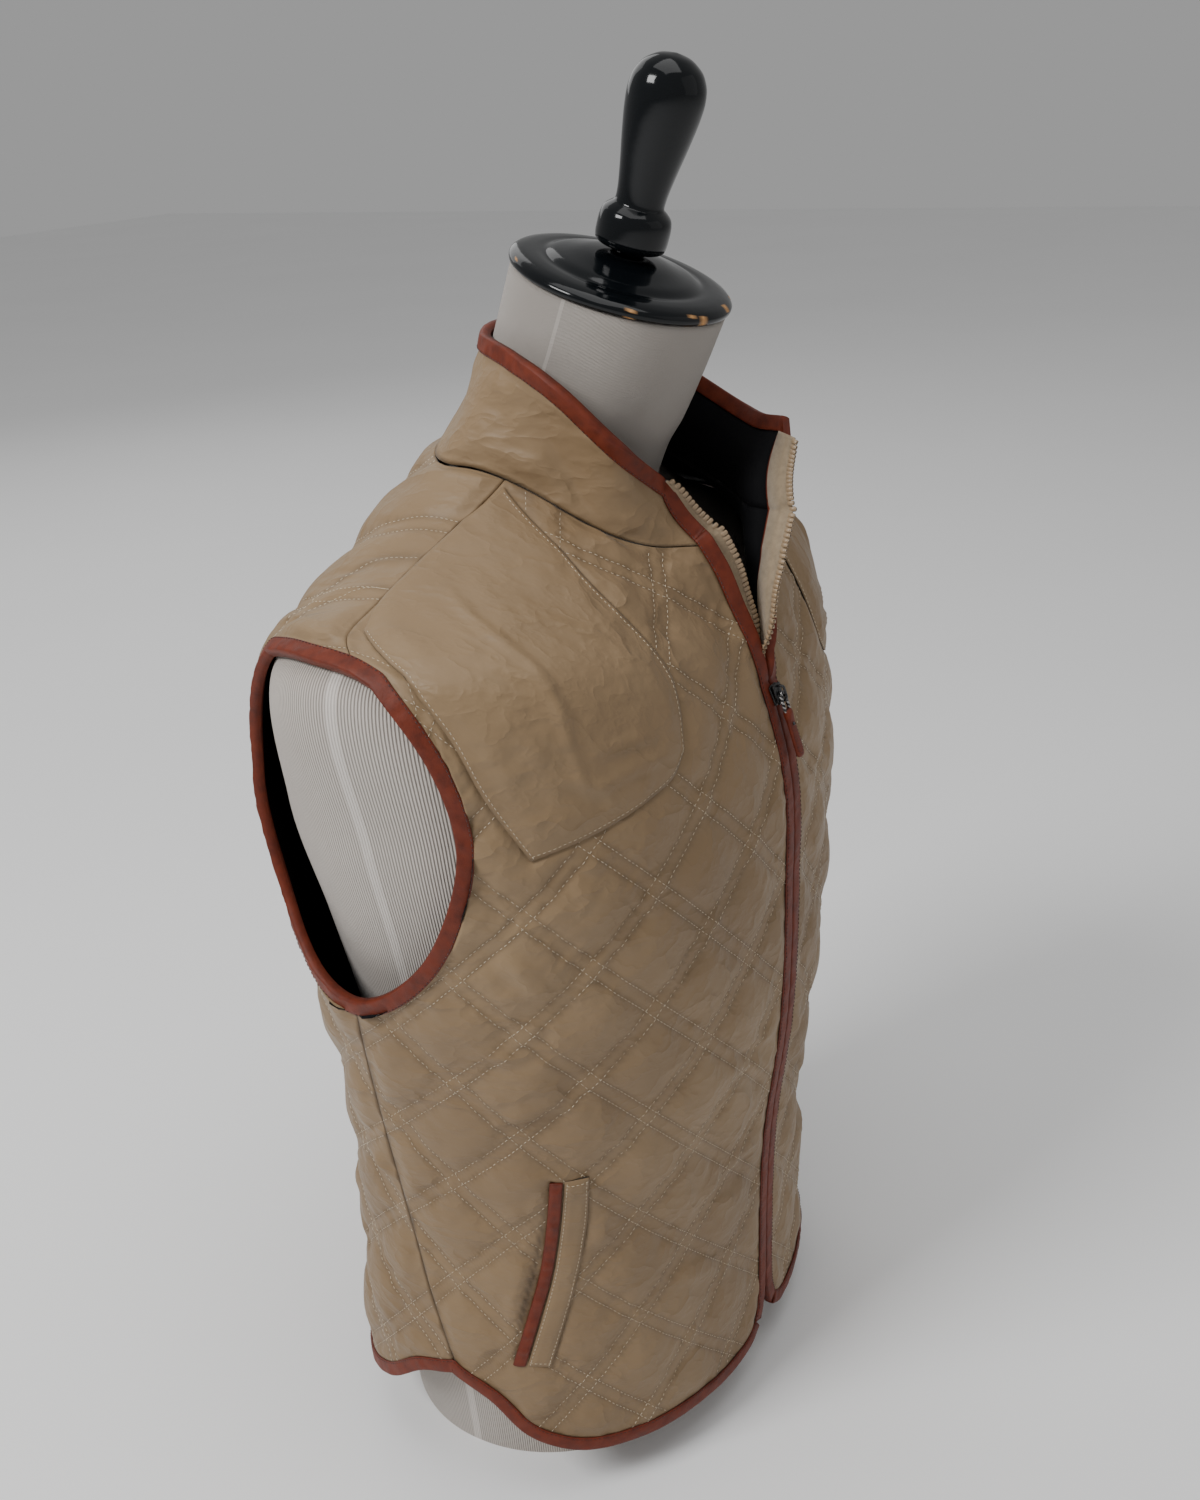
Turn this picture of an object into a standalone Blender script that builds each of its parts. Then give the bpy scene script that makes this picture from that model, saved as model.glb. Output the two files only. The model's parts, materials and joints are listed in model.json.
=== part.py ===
"""Quilted vest with a stand collar, worn by a limbless dress form.

Metres, +Z up. The vest's front faces -Y and the wearer's left is +X.
The origin is at the middle of the form's flat underside.

Every piece of cloth lies on one worn surface, body(), which is addressed by an
angle phi (degrees from the front, negative on the wearer's right) and a station
s (0 at the hem, 9 at the neckline).
"""
import math

import bmesh
import bpy
import numpy as np
from mathutils import Matrix, Vector

# ---------------------------------------------------------------- driving sizes
GAP = 0.0003                # between pieces that touch or are sewn together
QUILT_THICK = 0.0040        # tan shell, wadding and the black lining quilted to them
COLLAR_THICK = 0.0040
PATCH_THICK = 0.0010
BINDING_WIDTH = 0.0088
BINDING_PROUD = 0.0010      # how far the leather stands above the shell
DIAMOND = 0.0800            # diagonal of one quilted diamond
PUFF = 0.0042               # height of a diamond's middle above its stitching
TAPE_WIDTH = 0.0165
TAPE_THICK = 0.0009
BEAD_THICK = 0.0026         # the row of teeth on the tape's edge
BEAD_WIDTH = 0.0024
ZIP_STATION = 5.62          # where the slider stands: closed below, open above
CAP_TILT = math.radians(18.8)
CAP_CENTRE = Vector((0.0, -0.0655, 0.759))

# The worn vest as level rings: a superellipse with its own depth front and back.
# station          z_front z_side  z_back  half_w  front   back    square
SECTIONS = np.array((
    (0.002, 0.021, 0.020, 0.196, 0.148, 0.129, 2.30),   # 0 shirt tail
    (0.078, 0.103, 0.100, 0.192, 0.148, 0.130, 2.24),   # 1 hip
    (0.199, 0.201, 0.200, 0.186, 0.152, 0.126, 2.18),   # 2 waist
    (0.299, 0.302, 0.300, 0.195, 0.165, 0.127, 2.15),   # 3 ribs
    (0.390, 0.409, 0.394, 0.212, 0.169, 0.142, 2.15),   # 4 underarm
    (0.474, 0.499, 0.492, 0.220, 0.168, 0.152, 2.16),   # 5 chest
    (0.550, 0.592, 0.569, 0.211, 0.147, 0.112, 2.20),   # 6 shoulder tip
    (0.580, 0.613, 0.627, 0.166, 0.134, 0.084, 2.15),   # 7 mid shoulder
    (0.602, 0.646, 0.657, 0.109, 0.127, 0.064, 2.05),   # 8 by the neck
    (0.618, 0.668, 0.678, 0.080, 0.121, 0.045, 2.00)))  # 9 neckline

# The dress form under it, in the same columns; its neck follows in NECK.
FORM_SECTIONS = np.array((
    (0.000, 0.000, 0.000, 0.158, 0.124, 0.116, 2.10),   # flat underside
    (0.100, 0.100, 0.100, 0.164, 0.128, 0.110, 2.10),   # hip
    (0.215, 0.215, 0.215, 0.152, 0.122, 0.100, 2.10),   # waist
    (0.310, 0.310, 0.310, 0.168, 0.145, 0.111, 2.10),   # ribs
    (0.400, 0.405, 0.400, 0.184, 0.156, 0.128, 2.12),   # underarm
    (0.470, 0.482, 0.480, 0.200, 0.156, 0.139, 2.15)))  # chest
FORM_CLEAR = 0.0031         # between the vest and the form's shoulders

# Higher up the form fills the vest's shoulders, but its front is this deep.
#                  station front
FORM_SHOULDERS = ((5.9, 0.128), (6.4, 0.110), (7.0, 0.090), (7.6, 0.080), (8.3, 0.072))

# angle and station of points on each outline, in degrees and stations
#            phi    s
ARMHOLE = ((-95.0, 3.66), (-81.0, 3.95), (-72.8, 4.50), (-70.0, 5.05), (-73.0, 5.55),
           (-79.5, 5.92), (-87.5, 6.19), (-98.0, 6.24), (-110.0, 5.98), (-120.0, 5.40),
           (-121.0, 4.75), (-116.0, 4.10), (-106.0, 3.74))
SEAM_CORNER = 6             # the row of ARMHOLE where the shoulder seam ends
SHOULDER_SEAM = ((-87.5, 6.19), (-90.5, 6.45), (-90.0, 7.04), (-86.5, 7.55),
                 (-78.5, 8.15), (-69.5, 9.00))
SIDE_SEAM = ((-86.0, 1.04), (-91.8, 1.70), (-95.5, 2.50), (-96.2, 3.20), (-95.0, 3.66))
HEM_FRONT = ((-6.5, 0.60), (-10.0, 0.52), (-17.0, 0.47), (-32.0, 0.43), (-49.0, 0.39),
             (-63.0, 0.42), (-69.5, 0.53), (-77.0, 0.84), (-86.0, 1.04))
HEM_BACK = ((-86.0, 1.04), (-93.5, 0.95), (-104.5, 0.62), (-116.0, 0.42), (-140.0, 0.36),
            (-180.0, 0.36))
PATCH_TOP = ((-69.2, 8.85), (-78.0, 8.10), (-85.8, 7.50), (-89.0, 7.04), (-88.6, 6.60))
PATCH_INNER = ((-69.2, 8.85), (-51.0, 7.99), (-37.0, 6.80), (-33.0, 5.75), (-33.8, 5.50))
PATCH_FOOT = ((-33.8, 5.50), (-36.5, 5.36), (-42.0, 5.24), (-51.5, 5.08), (-62.0, 4.93))
PATCH_OUTER = ((-62.0, 4.93), (-68.0, 5.34), (-71.5, 5.65), (-77.0, 5.95), (-88.6, 6.60))
WELT_FRONT = ((-66.3, 1.12), (-63.0, 1.46), (-60.0, 1.79), (-57.5, 2.17), (-56.3, 2.57))
WELT_EDGE = ((-70.8, 1.12), (-67.2, 1.52), (-64.3, 1.86), (-62.3, 2.22), (-61.0, 2.56))
WELT_BACK = ((-73.6, 1.12), (-70.0, 1.52), (-67.1, 1.86), (-65.1, 2.22), (-63.8, 2.56))
FRONT_EDGE = 0.0094         # what half the zip and the binding take from each front

# Top edge of the collar: angle it stands over, and place.
#               phi      x       y       z
COLLAR_TOP = ((-4.4, -0.029, -0.103, 0.647), (-28.0, -0.0655, -0.094, 0.675),
              (-52.0, -0.078, -0.068, 0.705), (-90.0, -0.069, -0.030, 0.723),
              (-135.0, -0.043, 0.004, 0.728), (-180.0, 0.000, 0.018, 0.729),
              (-225.0, 0.044, 0.004, 0.725), (-270.0, 0.073, -0.034, 0.710),
              (-300.0, 0.078, -0.074, 0.685), (-325.0, 0.067, -0.108, 0.672),
              (-343.0, 0.053, -0.130, 0.669), (-355.6, 0.0448, -0.147, 0.670))
COLLAR_BULGE = 0.004
COLLAR_LIFT = 0.0024        # foot of the collar over the neckline

# Neck of the form: leaning ellipses.
#          centre_y centre_z half_x half_y lean (degrees)
NECK = ((-0.024, 0.664, 0.0665, 0.058, 6.0),
        (-0.037, 0.692, 0.0645, 0.060, 11.0),
        (-0.051, 0.724, 0.0622, 0.0615, 15.5),
        (-0.0653, 0.7585, 0.0628, 0.0628, 18.8))

# Turned wood on the neck, (radius, height over the rim) from the top down.
CAP_TOP = 0.0175
CAP_PROFILE = ((0.0, CAP_TOP), (0.0115, CAP_TOP), (0.0220, 0.0160), (0.0320, 0.0131),
               (0.0400, 0.0112), (0.0450, 0.0088), (0.0468, 0.0084), (0.0510, 0.0086),
               (0.0570, 0.0080), (0.0620, 0.0064), (0.0648, 0.0038), (0.0644, 0.0008),
               (0.0625, 0.0), (0.0, 0.0))
HANDLE_PROFILE = ((0.0, 0.1235), (0.0090, 0.1220), (0.0165, 0.1170), (0.0205, 0.1100),
                  (0.0216, 0.1020), (0.0208, 0.0920), (0.0186, 0.0780), (0.0160, 0.0640),
                  (0.0141, 0.0520), (0.0137, 0.0445), (0.0160, 0.0430), (0.0195, 0.0400),
                  (0.0207, 0.0350), (0.0207, 0.0260), (0.0200, 0.0225), (0.0180, 0.0212),
                  (0.0105, 0.0205), (0.0105, CAP_TOP + GAP), (0.0, CAP_TOP + GAP))


CAP_STEPS = 24
HANDLE_STEPS = 16

# ---------------------------------------------------------------- curves and rings
def hermite(knots, values, t):
    """Smooth curve through values at knots, read at t."""
    t = np.asarray(t, float)
    slopes = np.gradient(values, knots, axis=0)
    i = np.clip(np.searchsorted(knots, t, side="right") - 1, 0, len(knots) - 2)
    step = (knots[i + 1] - knots[i])[..., None]
    u = (t - knots[i])[..., None] / step
    return ((2 * u**3 - 3 * u**2 + 1) * values[i] + (u**3 - 2 * u**2 + u) * step * slopes[i]
            + (-2 * u**3 + 3 * u**2) * values[i + 1] + (u**3 - u**2) * step * slopes[i + 1])


def through(points, u):
    """Smooth curve through points, u from 0 to 1 by length along the points."""
    pts = np.asarray(points, float)
    scale = np.array((0.0035, 0.09)) if pts.shape[1] == 2 else np.ones(3)
    steps = np.linalg.norm(np.diff(pts * scale, axis=0), axis=1)
    knots = np.concatenate(((0.0,), np.cumsum(steps)))
    return hermite(knots / knots[-1], pts, np.clip(u, 0.0, 1.0))


def rings(phi, s, sections):
    """Point on the surface through the sections at angle phi (degrees), station s."""
    phi, s = np.broadcast_arrays(np.radians(np.asarray(phi, float)), np.asarray(s, float))
    side = np.linalg.norm(np.diff(sections[:, (3, 1)], axis=0), axis=1)
    front = np.linalg.norm(np.diff(sections[:, (4, 0)], axis=0), axis=1)
    knots = np.concatenate(((0.0,), np.cumsum(side + front)))
    t = np.interp(s, np.arange(len(sections)), knots)
    z_front, z_side, z_back, half, fore, aft, square = np.moveaxis(
        hermite(knots, sections, t), -1, 0)
    sine, cosine = np.sin(phi), np.cos(phi)
    depth = np.where(cosine > 0, fore, aft)
    radius = ((np.abs(sine) / half)**square + (np.abs(cosine) / depth)**square)**(-1 / square)
    z_end = np.where(cosine > 0, z_front, z_back)
    return np.stack((radius * sine, -radius * cosine, z_side + (z_end - z_side) * cosine**2), -1)


def ease(x):
    x = np.clip(x, 0.0, 1.0)
    return x * x * (3 - 2 * x)


# How the open neck stands away from the form: shift of each front at the neckline, how
# its edge is turned (sideways and forward), how soon either sets in, and over what angle.
#                 x       y       z      turn_x  turned  onset  reach  power
OPENING = {-1: (-0.0134, 0.0100, -0.0019, 0.0040, 0.0320, 0.60, 15.4, 1.00),
           1: (0.0217, -0.0100, 0.0090, 0.0140, 0.0600, 0.60, 12.5, 1.90)}
OPEN_FROM = ZIP_STATION + 0.23
OPEN_REACH = 62.0           # degrees of the front that the opening moves


def body(phi, s, side):
    """Outer surface of the worn vest; side is -1 on the right front, 1 on the left, 0 behind."""
    points = rings(phi, s, SECTIONS)
    if side:
        x, y, z, turn_x, turned, onset, reach, power = OPENING[side]
        open_ = np.clip((np.asarray(s, float) - OPEN_FROM) / (9.2 - OPEN_FROM), 0, 1)
        angle = np.abs((np.asarray(phi, float) + 180.0) % 360.0 - 180.0)
        pull = (open_**power * ease(1 - angle / OPEN_REACH))[..., None]
        turn = (open_**onset * np.clip(1 - angle / reach, 0, 1)**3)[..., None]
        points = points + pull * np.array((x, y, z)) + turn * np.array((turn_x, -turned, 0.0))
    return points


def facing(sheet, u, v, step=0.004):
    """Unit normals of a sheet function at u, v."""
    du = sheet(np.clip(u + step, 0, 1), v) - sheet(np.clip(u - step, 0, 1), v)
    dv = sheet(u, np.clip(v + step, 0, 1)) - sheet(u, np.clip(v - step, 0, 1))
    normal = np.cross(dv, du)
    return normal / np.linalg.norm(normal, axis=-1, keepdims=True)


FADE = 3                    # how fast a patch's foot and head curves lose hold of its rows


def coons(bottom, top, left, right):
    """Patch in (phi, s) between four side curves, each a function of 0..1."""
    def place(u, v):
        u, v = np.broadcast_arrays(np.asarray(u, float), np.asarray(v, float))
        a, b = u[..., None], v[..., None]
        low = bottom(u) - (1 - a) * bottom(0.0) - a * bottom(1.0)
        high = top(u) - (1 - a) * top(0.0) - a * top(1.0)
        return (1 - a) * left(v) + a * right(v) + low * (1 - b)**FADE + high * b**FADE
    return place


# ---------------------------------------------------------------- quilting
ARC_STEPS = np.arange(-180.0, 180.1, 3.0)
LEVELS = np.linspace(0.0, 9.0, 46)


def flat_pattern():
    """Flat-cloth coordinates of the body: across (from the front) and up, on a grid."""
    grid = rings(ARC_STEPS[None, :], LEVELS[:, None], SECTIONS)
    chest = int(np.argmin(np.abs(LEVELS - 5.0)))
    front = len(ARC_STEPS) // 2
    along = np.linalg.norm(np.diff(grid, axis=1), axis=2)
    across = np.concatenate((np.zeros((len(LEVELS), 1)), np.cumsum(along, axis=1)), axis=1)
    across -= across[:, front:front + 1]
    quarter = len(ARC_STEPS) // 4
    for row in range(chest + 1, len(LEVELS)):
        x = grid[row, :, 0]
        near = slice(quarter, 3 * quarter + 1)
        across[row] = np.interp(x, grid[chest, near, 0], across[chest, near])
        behind = np.abs(ARC_STEPS) > 90
        total, widest = across[chest, -1], across[chest, 3 * quarter]
        rear = np.abs(across[row, behind]) * (total - widest) / widest
        across[row, behind] = np.sign(ARC_STEPS[behind]) * (total - rear)
    rise = np.linalg.norm(np.diff(grid[:, :, 1:], axis=0), axis=2)
    up = np.concatenate((np.zeros((1, len(ARC_STEPS))), np.cumsum(rise, axis=0)), axis=0)
    return across, up + grid[:1, :, 2]


FLAT_ACROSS, FLAT_UP = flat_pattern()


def read_grid(table, phi, s):
    """Bilinear reading of a table over ARC_STEPS and LEVELS."""
    column = (phi - ARC_STEPS[0]) / 3.0
    row = s / LEVELS[1]
    i = np.clip(column.astype(int), 0, table.shape[1] - 2)
    j = np.clip(row.astype(int), 0, table.shape[0] - 2)
    a, b = column - i, row - j
    return ((1 - a) * (1 - b) * table[j, i] + a * (1 - b) * table[j, i + 1]
            + (1 - a) * b * table[j + 1, i] + a * b * table[j + 1, i + 1])


QUILT_ORIGIN = (0.132, 0.452)       # a crossing on the right front: across and up


def quilt_relief(phi, s):
    """Height of the shell: nothing along the quilting lines, PUFF in each diamond's middle."""
    phi = (np.asarray(phi, float) + 180.0) % 360.0 - 180.0
    across = np.abs(read_grid(FLAT_ACROSS, phi, s)) - QUILT_ORIGIN[0]
    up = read_grid(FLAT_UP, phi, s) - QUILT_ORIGIN[1]
    falling = np.abs(np.sin(math.pi * (across + up) / DIAMOND))
    rising = np.abs(np.sin(math.pi * (across - up) / DIAMOND))
    return PUFF * ((falling * rising)**0.6 - 0.3)


# ---------------------------------------------------------------- mesh builders
collection = None
cutters = None


def material(name, colour, roughness, metallic=0.0):
    made = bpy.data.materials.get(name) or bpy.data.materials.new(name)
    made.use_nodes = True
    shader = made.node_tree.nodes["Principled BSDF"]
    shader.inputs["Base Color"].default_value = (*colour, 1.0)
    shader.inputs["Roughness"].default_value = roughness
    shader.inputs["Metallic"].default_value = metallic
    made.diffuse_color = (*colour, 1.0)
    return made


def add_object(name, mesh, finish, smooth=True):
    if smooth:
        mesh.shade_smooth()
        mesh.set_sharp_from_angle(angle=math.radians(50))
    thing = bpy.data.objects.new(name, mesh)
    thing.data.materials.append(finish)
    collection.objects.link(thing)
    return thing


def closed_mesh(name, points, faces):
    """Mesh from a loft's points and faces, with every face turned outward."""
    mesh = bpy.data.meshes.new(name)
    mesh.from_pydata([tuple(p) for p in points], [], faces)
    bm = bmesh.new()
    bm.from_mesh(mesh)
    bmesh.ops.recalc_face_normals(bm, faces=bm.faces)
    if bm.calc_volume(signed=True) < 0:
        bmesh.ops.reverse_faces(bm, faces=bm.faces)
    bm.to_mesh(mesh)
    bm.free()
    return mesh


def wall(name, sheet, finish, size, depth, relief=None, down=0.0):
    """Closed cloth wall under a sheet function, with size (columns, rows).

    The outer face lies `down` under the sheet plus relief(u, v); the inner face is
    plain and lies `depth` further in.
    """
    columns, rows = size
    u, v = np.meshgrid(np.linspace(0, 1, columns + 1), np.linspace(0, 1, rows + 1))
    points, normals = sheet(u, v), facing(sheet, u, v)
    height = np.zeros_like(u) if relief is None else relief(u, v)
    outer = points + normals * (height - down)[..., None]
    inner = points - normals * (down + depth)
    count = (rows + 1) * (columns + 1)

    def at(i, j):
        return j * (columns + 1) + i

    faces = []
    for j in range(rows):
        for i in range(columns):
            low, across, far, up = at(i, j), at(i + 1, j), at(i + 1, j + 1), at(i, j + 1)
            for corner in ((low, across, far), (low, far, up)):
                faces.append(corner)
                faces.append(tuple(count + k for k in reversed(corner)))
    rim = [(at(i, j), at(i + 1, j)) for j in (0, rows) for i in range(columns)]
    rim += [(at(i, j), at(i, j + 1)) for i in (0, columns) for j in range(rows)]
    for a, b in rim:
        faces += [(a, a + count, b + count), (a, b + count, b)]
    return add_object(name, closed_mesh(name, np.concatenate((outer.reshape(-1, 3),
                                                              inner.reshape(-1, 3))), faces), finish)


def sweep(name, path, aside, outward, profile, finish, closed=False):
    """Closed strip: a profile of (aside, outward) pairs carried along a path.

    A list of profiles, one for each point of the path, lets it change on the way.
    """
    profiles = profile if isinstance(profile, list) else [profile] * len(path)
    count, corners = len(path), len(profiles[0])
    points = [path[i] + a * aside[i] + b * outward[i] for i in range(count) for a, b in profiles[i]]
    faces = []
    for i in range(count if closed else count - 1):
        here, there = i * corners, ((i + 1) % count) * corners
        for k in range(corners):
            far = (k + 1) % corners
            faces += [(here + k, here + far, there + k), (here + far, there + far, there + k)]
    if not closed:
        faces.append(tuple(range(corners)))
        faces.append(tuple(range((count - 1) * corners, count * corners)))
    return add_object(name, closed_mesh(name, points, faces), finish)


def edge_frame(path, outward, closed=False):
    """Unit vectors square to a path, lying in the cloth."""
    if closed:
        run = np.roll(path, -1, axis=0) - np.roll(path, 1, axis=0)
    else:
        run = np.gradient(path, axis=0)
    aside = np.cross(run, outward)
    return aside / np.linalg.norm(aside, axis=1, keepdims=True)


def outline(path, side, t):
    """Points and normals on the body at t along a curve in (phi, s)."""
    place = path(t)
    phi, s = place[:, 0], place[:, 1]
    points = body(phi, s, side)
    step = 0.4
    across = body(phi + step, s, side) - body(phi - step, s, side)
    up = body(phi, np.minimum(s + 0.03, 9.0), side) - body(phi, s - 0.03, side)
    normal = np.cross(across, up)
    return points, normal / np.linalg.norm(normal, axis=1, keepdims=True)


def turned(name, profile, finish, steps):
    """Turned solid from a (radius, height) profile, top to bottom."""
    mesh = bpy.data.meshes.new(name)
    mesh.from_pydata([(r, 0.0, z) for r, z in profile], [(i, i + 1) for i in range(len(profile) - 1)], [])
    thing = bpy.data.objects.new(name, mesh)
    thing.data.materials.append(finish)
    collection.objects.link(thing)
    screw = thing.modifiers.new("turn", "SCREW")
    screw.steps = steps
    screw.render_steps = steps
    screw.use_merge_vertices = True
    screw.merge_threshold = 0.00001
    screw.use_smooth_shade = True
    thing.location = CAP_CENTRE
    thing.rotation_euler = (CAP_TILT, 0.0, 0.0)
    return thing


# ---------------------------------------------------------------- outlines on the body
SEAM_SIDE = 0.0003          # what each panel keeps off a side or shoulder seam
PANEL_ROWS = 32
SIDE_ROWS = 15              # of them below the underarm
FRONT_COLUMNS = 15
SEAM_COLUMNS = 8            # columns of either panel that end on the shoulder seam
BACK_COLUMNS = 24


def curve(points):
    return lambda t: through(points, t)


def joined(first, second, share):
    """Two curves run one after the other; the first takes `share` of 0..1."""
    def place(t):
        t = np.asarray(t, float)
        low = first(t / share)
        high = second((t - share) / (1 - share))
        return np.where((t <= share)[..., None], low, high)
    return place


def backward(path):
    return lambda t: path(1.0 - np.asarray(t, float))


def beside(path, distance):
    """The curve moved round the body by a distance, towards the front if positive."""
    def place(t):
        where = path(t)
        points = rings(where[..., 0], where[..., 1], SECTIONS)
        angle = np.degrees(distance / np.hypot(points[..., 0], points[..., 1]))
        return where + np.stack((angle, np.zeros_like(angle)), -1)
    return place


def behind(path):
    """The same curve on the wearer's left, reached round the back."""
    return lambda t: np.array((-360.0, 0.0)) + path(t) * np.array((-1.0, 1.0))


def armhole(t):
    """The whole armhole, round from the underarm by the front."""
    ring = np.array(ARMHOLE[-3:] + ARMHOLE + ARMHOLE[:4], float)
    steps = np.linalg.norm(np.diff(ring * (0.0035, 0.09), axis=0), axis=1)
    knots = np.concatenate(((0.0,), np.cumsum(steps)))
    start, end = knots[3], knots[3 + len(ARMHOLE)]
    return hermite(knots, ring, start + (end - start) * np.asarray(t, float))


def hole_share():
    """Place of the shoulder seam on the armhole."""
    t = np.linspace(0.3, 0.7, 401)
    corner = np.array(ARMHOLE[SEAM_CORNER])
    return t[np.argmin(np.linalg.norm((armhole(t) - corner) * (0.0035, 0.09), axis=1))]


SEAM_AT = hole_share()


def edge_angle(width, s):
    """Angle of a line that runs `width` beside the centre front."""
    radius = -rings(0.0 * np.asarray(s, float), s, SECTIONS)[..., 1]
    return -np.degrees(width / radius)


def front_edge(t):
    """Edge of the right front's cloth from the rounded hem corner to the neckline."""
    corner_angle, corner_s = HEM_FRONT[0]
    s = corner_s + (9.0 - corner_s) * np.asarray(t, float)
    turn = corner_angle - edge_angle(FRONT_EDGE, corner_s)
    return np.stack((edge_angle(FRONT_EDGE, s) + turn * np.exp(-((s - corner_s) / 0.16)**1.3), s), -1)


def front_patch(side):
    """Coons patch of a front: across from its edge, up from the hem."""
    left, hem = front_edge, curve(HEM_FRONT)
    up_side = joined(curve(SIDE_SEAM), lambda t: armhole(t * SEAM_AT), SIDE_ROWS / PANEL_ROWS)
    up_side = beside(up_side, SEAM_SIDE)
    seam = beside(curve(SHOULDER_SEAM[::-1]), SEAM_SIDE)
    start, end = left(1.0)[0], seam(0.0)[0]
    neck = lambda t: np.stack((start + (end - start) * np.asarray(t, float),
                               9.0 + 0.0 * np.asarray(t, float)), -1)
    place = coons(hem, joined(neck, seam, 1 - SEAM_COLUMNS / FRONT_COLUMNS), left, up_side)
    if side > 0:
        return lambda u, v: place(1 - u, v) * np.array((-1.0, 1.0))
    return lambda u, v: place(u, v)


NECK_DIP = 0.06             # station the back's edge stays under the neckline at its middle


def back_patch():
    """Coons patch of the back: from the wearer's right side to the left, up from the hem."""
    up_hole = lambda t: armhole(1.0 - np.asarray(t, float) * (1 - SEAM_AT))
    up_side = beside(joined(curve(SIDE_SEAM), up_hole, SIDE_ROWS / PANEL_ROWS), -SEAM_SIDE)
    hem = joined(curve(HEM_BACK), backward(behind(curve(HEM_BACK))), 0.5)
    seam = beside(curve(SHOULDER_SEAM), -SEAM_SIDE)
    start = seam(1.0)[0]
    neck = lambda t: np.stack((start + (-360.0 - 2 * start) * np.asarray(t, float),
                               9.0 - NECK_DIP * np.sin(math.pi * np.asarray(t, float))), -1)
    share = SEAM_COLUMNS / BACK_COLUMNS
    top = joined(joined(seam, neck, share / (1 - share)), backward(behind(seam)), 1 - share)
    return coons(hem, top, up_side, behind(up_side))


def band_patch(first, last, side):
    """Patch between two curves in (phi, s)."""
    def place(u, v):
        u, v = np.broadcast_arrays(np.asarray(u, float), np.asarray(v, float))
        both = first(v) + (last(v) - first(v)) * u[..., None]
        return both * np.array((-side, 1.0))
    return place if side < 0 else lambda u, v: place(1 - u, v)


def on_body(place, side):
    """Sheet function: the patch laid on the worn surface."""
    def sheet(u, v):
        where = place(u, v)
        return body(where[..., 0], where[..., 1], side)
    return sheet


def zip_edge(side, t):
    """Points and normals along the zip edge of a front, t from the hem corner to the neckline."""
    sheet = on_body(front_patch(side), side)
    u = np.full(len(t), 0.0 if side < 0 else 1.0)
    return sheet(u, t), facing(sheet, u, t)


def outline_of(*curves):
    """Closed outline of a piece laid on a front, in flat cloth."""
    t = np.linspace(0, 1, 12, endpoint=False)
    ring = np.concatenate([path(t) for path in curves])
    return np.stack((np.abs(read_grid(FLAT_ACROSS, ring[:, 0], ring[:, 1])),
                     read_grid(FLAT_UP, ring[:, 0], ring[:, 1])), -1)


def cover(ring, phi, s, margin):
    """1 under a laid-on piece, fading to 0 over `margin` outside its outline."""
    phi = (phi + 180.0) % 360.0 - 180.0
    x, y = np.abs(read_grid(FLAT_ACROSS, phi, s)), read_grid(FLAT_UP, phi, s)
    inside = np.zeros(x.shape, bool)
    nearest = np.full(x.shape, 1.0)
    for (ax, ay), (bx, by) in zip(ring, np.roll(ring, -1, axis=0)):
        crosses = ((ay > y) != (by > y)) & (x < (bx - ax) * (y - ay) / (by - ay + 1e-12) + ax)
        inside ^= crosses
        t = ((x - ax) * (bx - ax) + (y - ay) * (by - ay)) / ((bx - ax)**2 + (by - ay)**2 + 1e-12)
        t = np.clip(t, 0, 1)
        nearest = np.minimum(nearest, np.hypot(x - ax - t * (bx - ax), y - ay - t * (by - ay)))
    return np.where(inside, 1.0, ease(1 - nearest / margin))


PATCH_RING = outline_of(curve(PATCH_INNER), curve(PATCH_FOOT), curve(PATCH_OUTER),
                        backward(curve(PATCH_TOP)))
WELT_RING = outline_of(curve(WELT_FRONT), backward(curve(WELT_BACK)))


PRESSED = 0.0012            # how far a laid-on piece presses the quilting down
LAID = 0.0009               # underside of a laid-on piece over the sheet


def seam_press(s):
    """1 on the quilting, falling to 0 where it is sewn flat at the neckline."""
    return ease((8.99 - s) / 0.25)


def front_relief(place):
    """Quilting of a front, pressed flat under the shoulder patch and the pocket welt."""
    def relief(u, v):
        where = place(u, v)
        phi, s = -np.abs(where[..., 0]), where[..., 1]
        flat = np.maximum(cover(PATCH_RING, phi, s, 0.022), cover(WELT_RING, phi, s, 0.018))
        return quilt_relief(phi, s) * (1 - flat) * seam_press(s) - PRESSED * flat
    return relief


# ---------------------------------------------------------------- the vest
SIDES = {-1: "right", 1: "left"}


def build_fronts(shell):
    for side, word in SIDES.items():
        place = front_patch(side)
        wall("front_" + word, on_body(place, side), shell, (FRONT_COLUMNS, PANEL_ROWS), QUILT_THICK,
             front_relief(place))


def build_back(shell):
    place = back_patch()

    def relief(u, v):
        where = place(u, v)
        return quilt_relief(where[..., 0], where[..., 1]) * seam_press(where[..., 1])
    wall("back", on_body(place, 0), shell, (BACK_COLUMNS, PANEL_ROWS), QUILT_THICK, relief)


def build_patches(shell):
    for side, word in SIDES.items():
        place = coons(curve(PATCH_FOOT), curve(PATCH_TOP),
                      backward(curve(PATCH_INNER)), curve(PATCH_OUTER))
        if side > 0:
            right = place
            place = lambda u, v: right(1 - u, v) * np.array((-1.0, 1.0))
        wall("shoulder_patch_" + word, on_body(place, side), shell, (9, 10), PATCH_THICK,
             down=-LAID - PATCH_THICK)


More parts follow.
